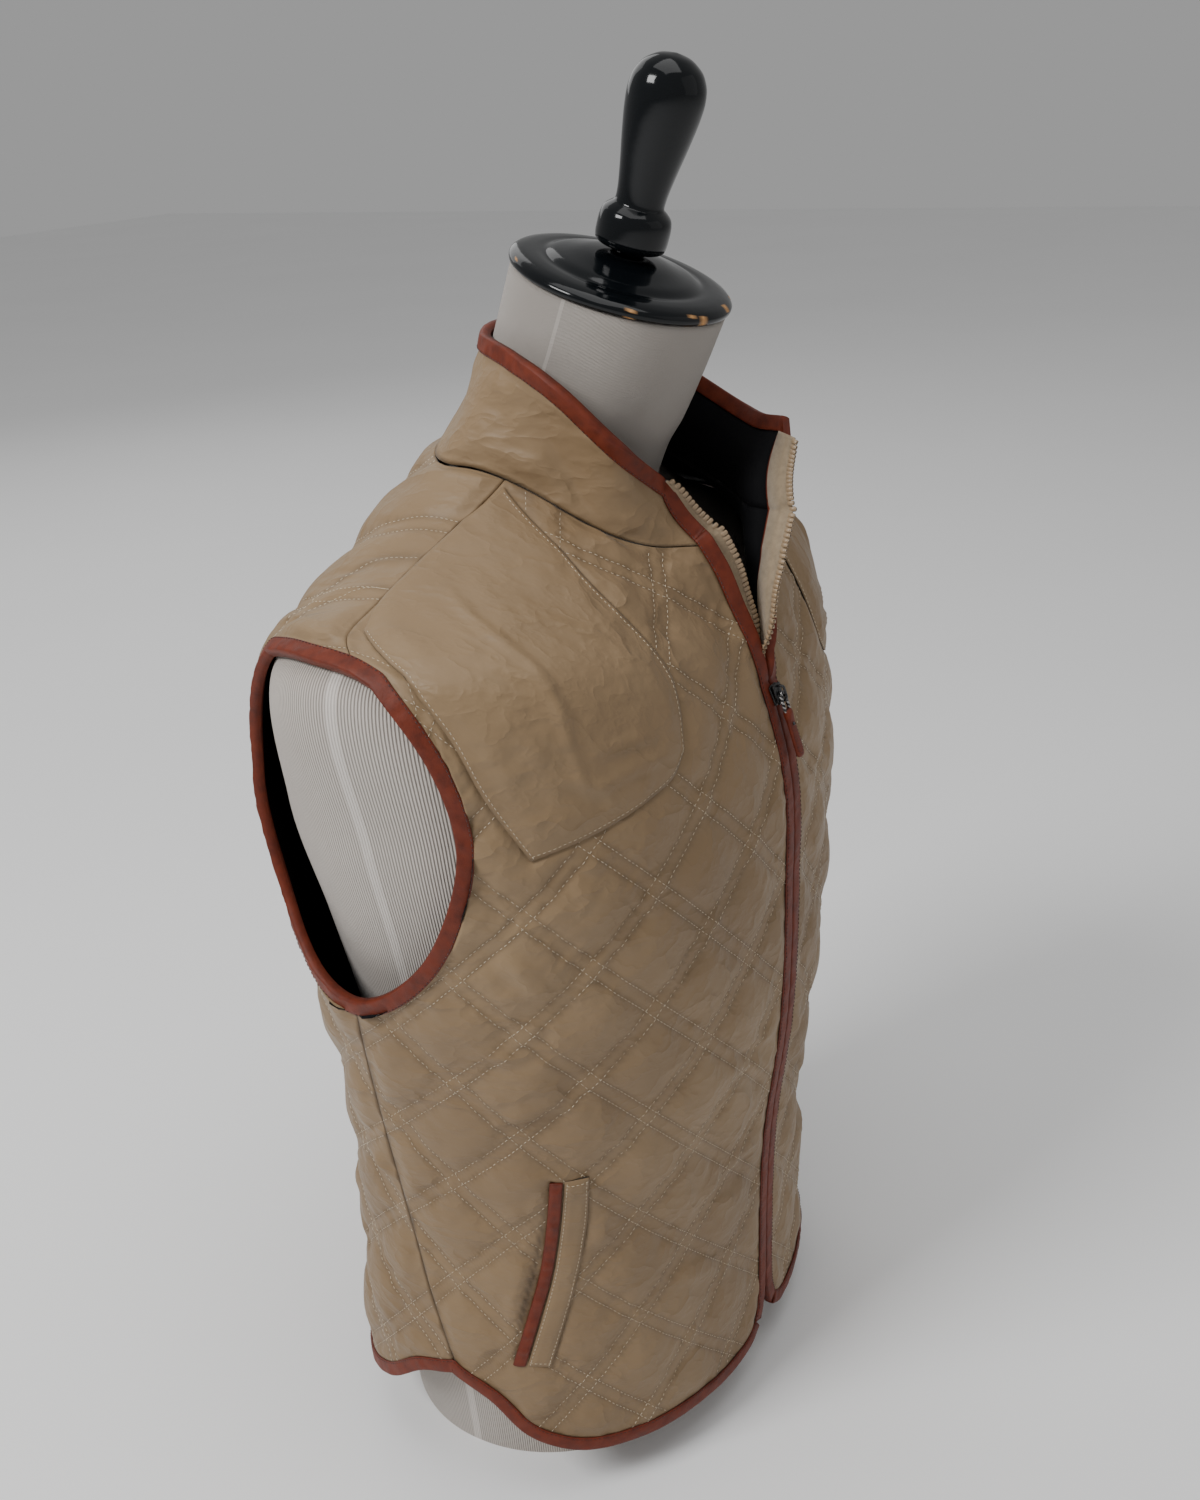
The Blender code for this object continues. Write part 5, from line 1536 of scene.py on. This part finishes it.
def binding_profiles(count, width, deep, run, seed, steps=11):
    """Sections of leather folded round a cloth edge, with small cross wrinkles."""
    a = np.linspace(0, math.pi, steps)
    along, over = -LIP + (width + LIP) * (0.5 - 0.5 * np.cos(a)), np.sin(a)**0.7
    profiles = []
    for k in range(count):
        waves = lattice_noise(np.full(steps, run[k] / 0.0042), a * 0.8, seed)
        waves = waves + 0.6 * lattice_noise(np.full(steps, run[k] / 0.0100), a * 0.5, seed + 1)
        rise = LEATHER_THICK + (BINDING_PROUD - LEATHER_THICK + 0.0006) * over
        rise = rise + 0.00045 * waves * np.sin(a)
        rise[-1] = -0.35 * deep
        inner = -deep - LEATHER_THICK - 0.0003 * over[::-1]
        outside = np.stack((along, rise), -1)
        under = np.stack((along[::-1] * 0.97, np.minimum(inner, -deep - 0.0004)), -1)[1:]
        inside, low = width - 0.0016, -deep - 0.0001
        slot = np.array(((-LIP, low), (inside, low), (inside, 0.0002), (-LIP, 0.0002)))
        profiles.append(np.concatenate((outside, under, slot)))
    return profiles


def dense(path, outward, aside, pitch, closed=False):
    """Path, outward and aside read again every pitch."""
    if closed:
        path, outward, aside = (np.concatenate((x, x[:1])) for x in (path, outward, aside))
    knots = travelled(path)
    count = max(4, int(knots[-1] / pitch))
    t = np.linspace(0, knots[-1], count + 1)
    if closed:
        t = t[:-1]
    path, outward, aside = (hermite(knots, x, t) for x in (path, outward, aside))
    return path, unit(outward), unit(aside), t


def bound(name, path, outward, aside, width, deep, leather, thread, closed=False, seed=81):
    """A leather binding with its wrinkles and its sewn line."""
    path, outward, aside, run = dense(path, outward, aside, 0.0022, closed)
    profiles = binding_profiles(len(path), width, deep, run, seed)
    # painted shade on the lip's outer edge, where the leather meets the cloth
    edge = np.zeros((len(path), len(profiles[0])))
    edge[:, 0] = 0.8
    thing = strip(name + "_leather", path, aside, outward, profiles, [leather], closed,
                  values={"painted_shade": edge.ravel()})
    ride(thing, "vest", "leather", name)
    line = np.array([p[2] for p in profiles])
    row = path + aside * line[:, :1] + outward * (line[:, 1:] + 0.0001)
    where = resampled(row, TRIM_PITCH)
    sewn = [(*stitch_run(row, where, 0.4), read_line(outward, where))]
    ride(stitches(name + "_thread", sewn, thread, TRIM_LENGTH, 0.00045), "vest", "leather")


def collar_end(side, v):
    """Points and normals up one end of the collar."""
    u = np.full(len(v), 0.0 if side < 0 else 1.0)
    return collar_sheet(u, v), facing(collar_sheet, u, v)


def build_bindings(leather, thread):
    for side, word in SIDES.items():
        ring = lambda t: armhole(t) * np.array((-side, 1.0))
        path, outward = outline(ring, side, np.linspace(0, 1, 160, endpoint=False))
        aside = edge_frame(path, outward, closed=True) * side
        bound("binding_armhole_" + word, path, outward, aside, BINDING_WIDTH, QUILT_THICK + GAP,
              leather, thread, True, 81)
        path, outward = zip_edge(side, np.linspace(0, 0.992, 238))
        joint, turned_out = collar_end(side, np.array((0.05, 0.10)))
        path, outward = np.concatenate((path, joint)), np.concatenate((outward, turned_out))
        aside = edge_frame(path, outward) * -side
        bound("binding_front_" + word, path, outward, aside, BINDING_WIDTH, QUILT_THICK, leather,
              thread,
              False, 83)

    front, rear = curve(HEM_FRONT), curve(HEM_BACK)
    stretches = ((front, -1, 100), (rear, 0, 120), (backward(behind(rear)), 0, 120),
                 (backward(behind(front)), 1, 100))
    paths, normals = [], []
    for place, side, count in stretches:
        path, outward = outline(place, side, np.linspace(0, 1, count + 1))
        paths.append(path[:-1])
        normals.append(outward[:-1])
    path, outward = np.concatenate(paths + [path[-1:]]), np.concatenate(normals + [outward[-1:]])
    aside = -edge_frame(path, outward)
    bound("binding_hem", path, outward, aside, BINDING_WIDTH, QUILT_THICK + GAP, leather, thread,
          False, 85)

    side_v, across = np.linspace(0.105, 0.99, 14), np.linspace(0, 1, 241)
    u = np.concatenate((np.zeros_like(side_v), across, np.ones_like(side_v)))
    v = np.concatenate((side_v, np.ones_like(across), side_v[::-1]))
    path, outward = collar_sheet(u, v), facing(collar_sheet, u, v)
    aside = edge_frame(path, outward)
    if aside[120] @ np.array((0.0, 0.0, 1.0)) < 0:
        aside = -aside
    bound("binding_collar", path, outward, aside, BINDING_WIDTH, COLLAR_THICK, leather, thread,
          False, 87)


# ---------------------------------------------------------------- zip
def tape_path(side, count=260):
    """Edge path of a front and the collar's end that its tape follows."""
    t = np.linspace(TAPE_FROM, TAPE_TO, count)
    path, outward = zip_edge(side, t)
    v = np.linspace(0.05, 0.985, 24)
    above, turned_out = collar_end(side, v)
    path, outward = np.concatenate((path, above)), np.concatenate((outward, turned_out))
    aside = edge_frame(path, outward) * -side
    open_reach = np.full(len(v), zip_protrusion(NECKLINE))
    reach = np.concatenate((zip_protrusion(front_edge(t)[:, 1]), open_reach))
    return path, outward, aside, reach


TOOTH_PITCH = 0.0029
# A tooth's sections across the tape: place, half length along it and half thickness.
TOOTH_SECTIONS = ((-0.0027, 0.00080, 0.00070), (-0.0021, 0.00120, 0.00120),
                  (-0.0008, 0.00132, 0.00138), (0.0003, 0.00134, 0.00138),
                  (0.0011, 0.00122, 0.00122), (0.0016, 0.00078, 0.00070))
TOOTH_CORNERS = ((-1, -0.7), (-0.7, -1), (0.7, -1), (1, -0.7),
                 (1, 0.7), (0.7, 1), (-0.7, 1), (-1, 0.7))


def build_zip(tape, teeth):
    for side, word in SIDES.items():
        path, outward, aside, reach = tape_path(side)
        top = -(QUILT_THICK + 5 * GAP)
        low = top - TAPE_THICK
        profiles = []
        for out in reach:
            end = FRONT_EDGE - 3 * GAP + out - 0.0004
            begin = FRONT_EDGE - TAPE_WIDTH + out
            middle = (begin + end) / 2
            profiles.append(((begin, low), (begin, top), (middle, top + 0.0001),
                             (end - 0.0022, top),
                             (end - 0.0018, top + 0.0002), (end, top - 0.0001), (end, low - 0.0003),
                             (end - 0.0018, low - 0.0004), (end - 0.0022, low), (middle, low)))
        thing = strip("zip_tape_" + word + "_cloth", path, aside, outward, profiles, [tape])
        ride(thing, "vest", "zip_tape", "zip_tape_" + word)
        build_teeth("zip_teeth_" + word, path, outward, aside, reach, top, side, teeth)


def build_teeth(name, path, outward, aside, reach, top, side, finish):
    """Moulded teeth over the edge of a tape, each a rounded block with a narrow neck."""
    where = resampled(path, TOOTH_PITCH)
    if side > 0:
        where = where + 0.5 * TOOTH_PITCH / np.linalg.norm(path[1] - path[0])
    centre, out, across = (read_line(x, where) for x in (path, outward, aside))
    run = unit(np.gradient(centre, axis=0))
    square = np.cross(run, out)
    across = unit(square * np.sign(np.sum(square * across, axis=1, keepdims=True)))
    edge = FRONT_EDGE - 3 * GAP + np.interp(where, np.arange(len(reach)), reach)
    count, corners = len(TOOTH_SECTIONS), len(TOOTH_CORNERS)
    points, faces = [], []
    for k in range(len(centre)):
        base = centre[k] + across[k] * edge[k] + out[k] * (top - TAPE_THICK / 2)
        start = len(points)
        for place, half, deep in TOOTH_SECTIONS:
            for a, b in TOOTH_CORNERS:
                points.append(base + across[k] * place + run[k] * half * a + out[k] * deep * b)
        faces += loft_faces(corners, count, start)
        faces.append(tuple(range(start, start + corners)))
        faces.append(tuple(reversed(range(start + (count - 1) * corners, start + count * corners))))
    thing = as_object(name, points, faces, [finish])
    ride(thing, "vest", "zip_tape")


def framed(frame, points):
    return np.array([frame @ Vector(p) for p in points])


def rounded_box(name, size, centre, frame, finish, bevel):
    """A block with rounded edges, built in place."""
    bm = bmesh.new()
    bmesh.ops.create_cube(bm, size=1.0)
    bm.transform(Matrix.Diagonal((*size, 1.0)))
    bmesh.ops.bevel(bm, geom=bm.edges[:], offset=bevel, segments=3, profile=0.6, affect="EDGES")
    bm.transform(frame @ Matrix.Translation(centre))
    mesh = bpy.data.meshes.new(name)
    bm.to_mesh(mesh)
    bm.free()
    mesh.materials.append(finish)
    mesh.shade_smooth()
    mesh.set_sharp_from_angle(angle=math.radians(50))
    return in_scene(name, mesh)


def wire_ring(name, path, radius, finish, sides, hint):
    """Round wire along a closed path."""
    run = unit(np.roll(path, -1, axis=0) - np.roll(path, 1, axis=0))
    first = unit(np.cross(run, hint))
    a = np.linspace(0, 2 * math.pi, sides, endpoint=False)
    profile = np.stack((np.cos(a), np.sin(a)), -1) * radius
    return strip(name, path, first, np.cross(run, first), profile, [finish], True)


# Half outline of the slider's plates: height, and width as a share of the slider's.
PLATE_OUTLINE = ((-0.0063, 0.62), (-0.0050, 0.78), (-0.0015, 0.84), (0.0020, 0.94),
                 (0.0045, 1.0), (0.0058, 0.94), (0.0064, 0.70))


def build_slider(metal, silver_glint, leather, thread):
    frame = slider_frame()
    top = SLIDER_SEAT + SLIDER_THICK
    plates = []
    half = SLIDER_WIDTH / 2
    shape = [(half * share, z) for z, share in PLATE_OUTLINE]
    ring = shape + [(-x, z) for x, z in reversed(shape)]
    for name, low, high in (("upper", top - 0.0013, top),
                            ("lower", SLIDER_SEAT, SLIDER_SEAT + 0.0011)):
        levels = ((low, 0.94), (low + 0.0003, 1.0), (high - 0.0004, 1.0), (high, 0.90))
        points = [frame @ Vector((x * grow, y, z * grow)) for y, grow in levels for x, z in ring]
        faces = loft_faces(len(ring), len(levels)) + end_faces(len(ring), len(levels))
        plate = as_object("slider_plate_" + name, points, faces, [metal], smooth=False)
        turn_out(plate)
        plates.append(plate)
    post = rounded_box("slider_post", (0.0030, SLIDER_THICK, 0.0050),
                       Vector((0.0, SLIDER_SEAT + SLIDER_THICK / 2, 0.0030)), frame, metal, 0.0006)
    rise = top + BRIDGE_RISE + BRIDGE_SIZE[1] / 2
    bar = ((BRIDGE_HALF, top - 0.0006), (BRIDGE_HALF + 0.0003, top + 0.0014),
           (BRIDGE_HALF - 0.0002, rise - 0.0008),
           (BRIDGE_HALF - 0.0014, rise), (0.0, rise + 0.0001), (-BRIDGE_HALF + 0.0014, rise),
           (-BRIDGE_HALF + 0.0002, rise - 0.0008), (-BRIDGE_HALF - 0.0003, top + 0.0014),
           (-BRIDGE_HALF, top - 0.0006))
    path = framed(frame, [(0.0, y, z) for z, y in bar])
    knots = np.arange(len(path), dtype=float)
    path = hermite(knots, path, np.linspace(0, len(path) - 1, 33))
    across = np.tile(np.array(frame.to_3x3() @ Vector((1.0, 0.0, 0.0))), (len(path), 1))
    square = unit(np.cross(np.gradient(path, axis=0), across))
    a = np.linspace(0, 2 * math.pi, 12, endpoint=False)
    section = np.stack((np.cos(a) * BRIDGE_SIZE[0] / 2, np.sin(a) * BRIDGE_SIZE[1] / 2), -1)
    bridge = strip("slider_bridge", path, across, square, section, [metal])
    for piece in plates + [post, bridge]:
        ride(piece, "vest", "zip_metal", "zip_slider")

    pivot = top + LINK_WIRE + 2 * GAP
    hang = frame @ Matrix.Translation((0.0, pivot, LINK_WIRE / 2))
    radius = LINK_WIDTH / 2 - LINK_WIRE
    straight = LINK_LENGTH - 2 * LINK_WIRE - 2 * radius
    loop = []
    for k in range(24):
        a = math.pi * k / 23
        loop.append((radius * math.cos(a), radius * math.sin(a) - radius))
    for k in range(1, 8):
        loop.append((-radius, -radius - straight * k / 8))
    for k in range(24):
        a = math.pi * k / 23
        loop.append((-radius * math.cos(a), -radius * math.sin(a) - radius - straight))
    for k in range(1, 8):
        loop.append((radius, -radius - straight * (8 - k) / 8))
    core = framed(hang, [(x, 0.0, z) for x, z in loop])
    count = 240
    closed_core = np.concatenate((core, core[:1]))
    steps = travelled(closed_core)
    t = np.linspace(0, steps[-1], count, endpoint=False)
    smooth = np.stack([np.interp(t, steps, closed_core[:, k]) for k in range(3)], -1)
    run = unit(np.roll(smooth, -1, axis=0) - np.roll(smooth, 1, axis=0))
    out = np.tile(np.array(hang.to_3x3() @ Vector((0.0, 1.0, 0.0))), (count, 1))
    beside_ = np.cross(run, out)
    turns = 11
    # Painted highlight: one strand is silver so the twisted dark wire shows glints along its turns.
    for k, finish in enumerate((metal, silver_glint)):
        angle = 2 * math.pi * (turns * t / steps[-1] + k / 2)
        away = beside_ * np.cos(angle)[:, None] + out * np.sin(angle)[:, None]
        strand = wire_ring("pull_link_strand_" + "ab"[k], smooth + away * LINK_WIRE * 0.48,
                           LINK_WIRE * 0.56, finish, 8, out[0])
        ride(strand, "pull", "zip_metal", "pull_link")

    drop = -LINK_LENGTH + LINK_WIRE - GAP
    build_tab(hang, drop, leather, thread, metal)


def build_tab(hang, drop, leather, thread, metal):
    """Leather tab folded round the link, flared to its end, with a rivet and a sewn edge."""
    levels = ((0.0036, 0.0022, 0.0012), (0.0026, 0.0030, 0.0020), (0.0008, 0.0033, 0.0024),
              (-0.0020, 0.0034, 0.0020), (-0.0050, 0.0037, 0.0015), (-0.0100, 0.0040, 0.0013),
              (-0.0180, 0.0042, 0.0013), (-0.0240, 0.0041, 0.0013), (-0.0262, 0.0036, 0.0012),
              (-0.0270, 0.0024, 0.0010))
    points = []
    corners = 16
    for z, half, thick in levels:
        for k in range(corners):
            a = 2 * math.pi * k / corners
            c, s = math.cos(a), math.sin(a)
            x = half * math.copysign(abs(c)**0.45, c)
            y = thick * math.copysign(abs(s)**0.6, s)
            points.append(hang @ Vector((x, y, drop + z)))
    faces = loft_faces(corners, len(levels)) + end_faces(corners, len(levels))
    tab = as_object("pull_tab_leather", points, faces, [leather],
                    values={"painted_shade": np.zeros(len(points))})
    turn_out(tab)
    ride(tab, "pull", "leather", "pull_tab")
    edge = [(-0.0028, -0.0060), (-0.0031, -0.0110), (-0.0032, -0.0180), (-0.0030, -0.0238),
            (0.0, -0.0252),
            (0.0030, -0.0238), (0.0032, -0.0180), (0.0031, -0.0110), (0.0028, -0.0060)]
    path = framed(hang, [(x, 0.00135, drop + z) for x, z in edge])
    where = resampled(path, 0.0022)
    out = np.tile(np.array(hang.to_3x3() @ Vector((0.0, 1.0, 0.0))), (len(where), 1))
    sewn = [(*stitch_run(path, where, 0.2), out)]
    ride(stitches("pull_tab_stitches", sewn, thread, 0.0015, 0.0003), "pull", "leather")
    rivet = ((0.0006, 0.00236), (0.0010, 0.0021), (0.0011, 0.0017), (0.0011, 0.0010))
    points = []
    corners = 14
    for r, y in rivet:
        for k in range(corners):
            a = 2 * math.pi * k / corners
            points.append(hang @ Vector((r * math.cos(a), y, drop - 0.0062 + r * math.sin(a))))
    faces = loft_faces(corners, len(rivet)) + end_faces(corners, len(rivet))
    stud = as_object("pull_tab_rivet", points, faces, [metal])
    turn_out(stud)
    ride(stud, "pull", "zip_metal")


# ---------------------------------------------------------------- dress form
def build_form(jersey, lacquer):
    columns = 240
    phi = np.linspace(0, 360, columns, endpoint=False)
    levels = form_rings(phi)
    steps = np.linalg.norm(np.diff(levels, axis=0), axis=2).mean(axis=1)
    knots = np.concatenate(((0.0,), np.cumsum(steps)))
    rows = np.array([hermite(knots, levels, t) for t in np.linspace(0, knots[-1], 200)])
    count = len(rows)
    faces = loft_faces(columns, count) + end_faces(columns, count)
    girth = 0.95
    flat = np.stack(np.broadcast_arrays(np.abs(phi - 180)[None, :] / 360.0 * girth,
                                        np.linspace(0, knots[-1], count)[:, None]), -1).reshape(-1,
                                                                                                2)
    thing = as_object("form_jersey", rows.reshape(-1, 3), faces, [jersey], uv=flat)
    turn_out(thing)
    ride(thing, "vest", "form_cloth", "form_torso")
    turned("neck_cap_lacquer", CAP_PROFILE, lacquer, 96, "neck_cap", True)
    turned("neck_handle_lacquer", HANDLE_PROFILE, lacquer, 64, "neck_handle", False)


# Chips in the cap's rim: angle round the cap, distance from its middle, size.
CHIPS = ((4.10, 0.0632, 0.0013), (4.32, 0.0628, 0.0009), (4.45, 0.0640, 0.0012),
         (4.92, 0.0622, 0.0021),
         (5.30, 0.0634, 0.0010), (5.62, 0.0628, 0.0008), (3.72, 0.0636, 0.0010),
         (0.60, 0.0634, 0.0012),
         (1.50, 0.0630, 0.0009), (2.40, 0.0636, 0.0014))


def turned(name, profile, finish, steps, node, chipped):
    """Turned wood from a (radius, height) profile, smoothed through its points."""
    table = np.array(profile, float)
    knots = travelled(table)
    fine = [low + (high - low) * k / 4 for low, high in zip(knots, knots[1:]) for k in range(4)]
    fine.append(knots[-1])
    rows = np.stack([np.interp(fine, knots, table[:, k]) for k in range(2)], -1)
    for _ in range(2):
        rows[1:-1] = 0.25 * rows[:-2] + 0.5 * rows[1:-1] + 0.25 * rows[2:]
    rows[:, 0] = np.maximum(rows[:, 0], 0.0)
    place = Matrix.Translation(CAP_CENTRE) @ Matrix.Rotation(CAP_TILT, 4, "X")
    points, chips = [place @ Vector((0.0, 0.0, float(rows[0, 1])))], [0.0]
    for r, z in rows[1:-1]:
        for k in range(steps):
            a = 2 * math.pi * k / steps
            points.append(place @ Vector((r * math.cos(a), r * math.sin(a), z)))
            chip = 0.0
            if chipped:
                for angle, radius, size in CHIPS:
                    far = math.hypot(r * math.cos(a) - radius * math.cos(angle),
                                     r * math.sin(a) - radius * math.sin(angle))
                    chip = max(chip, float(far < size))
            chips.append(chip)
    points.append(place @ Vector((0.0, 0.0, float(rows[-1, 1]))))
    chips.append(0.0)
    count = len(rows) - 2
    faces = loft_faces(steps, count, 1)
    last = len(points) - 1
    faces += [(0, 1 + (k + 1) % steps, 1 + k) for k in range(steps)]
    faces += [(last, 1 + (count - 1) * steps + k, 1 + (count - 1) * steps + (k + 1) % steps)
              for k in range(steps)]
    thing = as_object(name, points, faces, [finish], values={"chip": chips})
    turn_out(thing)
    thing.data.set_sharp_from_angle(angle=math.radians(40))
    ride(thing, "vest", "lacquer", node)


# ---------------------------------------------------------------- camera, light and floor
# Area lights: name, place, size in metres and power in watts; all face LIT_POINT.
LIGHTS = (("key", (-2.1, 0.9, 2.6), 1.1, 74.0), ("over", (-0.2, -0.4, 3.1), 2.0, 24.0),
          ("fill", (0.6, -2.8, 1.5), 2.4, 3.5), ("back", (1.6, 2.4, 2.2), 2.2, 16.0))
LIT_POINT = Vector((0.0, 0.0, 0.45))
ROOM_LIGHT = 0.35


def build_stage():
    floor = bpy.data.meshes.new("floor")
    floor.from_pydata([(-9, -9, 0), (9, -9, 0), (9, 9, 0), (-9, 9, 0)], [], [(0, 1, 2, 3)])
    finish = Finish("pale floor", (0.92, 0.92, 0.92), 0.9)
    tone = finish.ramp(finish.noise(finish.where(), 1.5),
                       ((0.3, (0.91, 0.91, 0.91)), (0.7, (0.93, 0.93, 0.93))))
    finish.link(tone, "Base Color")
    floor.materials.append(finish.made)
    ground = in_scene("floor", floor)
    for name, place, size, power in LIGHTS:
        light = bpy.data.lights.new(name, "AREA")
        light.size = size
        light.energy = power
        lamp = in_scene(name, light)
        lamp.location = place
        lamp.rotation_euler = (LIT_POINT - lamp.location).to_track_quat("-Z", "Y").to_euler()
    world = bpy.data.worlds.new("pale room")
    world.use_nodes = True
    world.node_tree.nodes["Background"].inputs["Color"].default_value = (1.0, 1.0, 1.0, 1.0)
    world.node_tree.nodes["Background"].inputs["Strength"].default_value = ROOM_LIGHT
    bpy.context.scene.world = world


CAMERA_PLACE = Vector((-0.7986, -0.5068, 0.8688))
CAMERA_YAW = -1.0377
CAMERA_PITCH = math.radians(23.4663)
CAMERA_ROLL = -0.0549
SENSOR_HEIGHT = 36.0        # mm, as is the lens
LENS = 37.45


def build_camera():
    sine, cosine = math.sin(CAMERA_YAW), math.cos(CAMERA_YAW)
    away = Vector((sine * math.cos(CAMERA_PITCH), -cosine * math.cos(CAMERA_PITCH),
                   math.sin(CAMERA_PITCH)))
    right = Vector((cosine, sine, 0.0))
    up = away.cross(right)
    tilted = math.cos(CAMERA_ROLL) * right + math.sin(CAMERA_ROLL) * up
    upright = -math.sin(CAMERA_ROLL) * right + math.cos(CAMERA_ROLL) * up
    data = bpy.data.cameras.new("photo camera")
    data.sensor_fit = "VERTICAL"
    data.sensor_height = SENSOR_HEIGHT
    data.lens = LENS
    data.clip_start = 0.01
    camera = in_scene("photo camera", data)
    camera.matrix_world = (Matrix.Translation(CAMERA_PLACE)
                           @ Matrix((tilted, upright, away)).transposed().to_4x4())
    bpy.context.scene.camera = camera


def main():
    for thing in list(bpy.data.objects):
        bpy.data.objects.remove(thing)
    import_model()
    shell, lining, leather = shell_finish(), lining_finish(), leather_finish()
    tape, jersey, lacquer = tape_finish(), jersey_finish(), lacquer_finish()
    thread = thread_finish("cream thread", THREAD)
    dark_thread = thread_finish("dark thread", THREAD_DARK)
    teeth = plastic_finish("zip teeth", TEETH_BEIGE, 0.38)
    metal = metal_finish("worn black metal", BLACK_METAL, 0.30)
    silver_glint = metal_finish("silver strand", SILVER_GLINT, 0.28)
    build_form(jersey, lacquer)
    build_panels(shell, lining, thread)
    build_collar(shell, lining)
    build_patches(shell, thread)
    build_pockets(shell, leather, thread)
    build_bindings(leather, dark_thread)
    build_zip(tape, teeth)
    build_slider(metal, silver_glint, leather, dark_thread)
    build_stage()
    build_camera()


main()
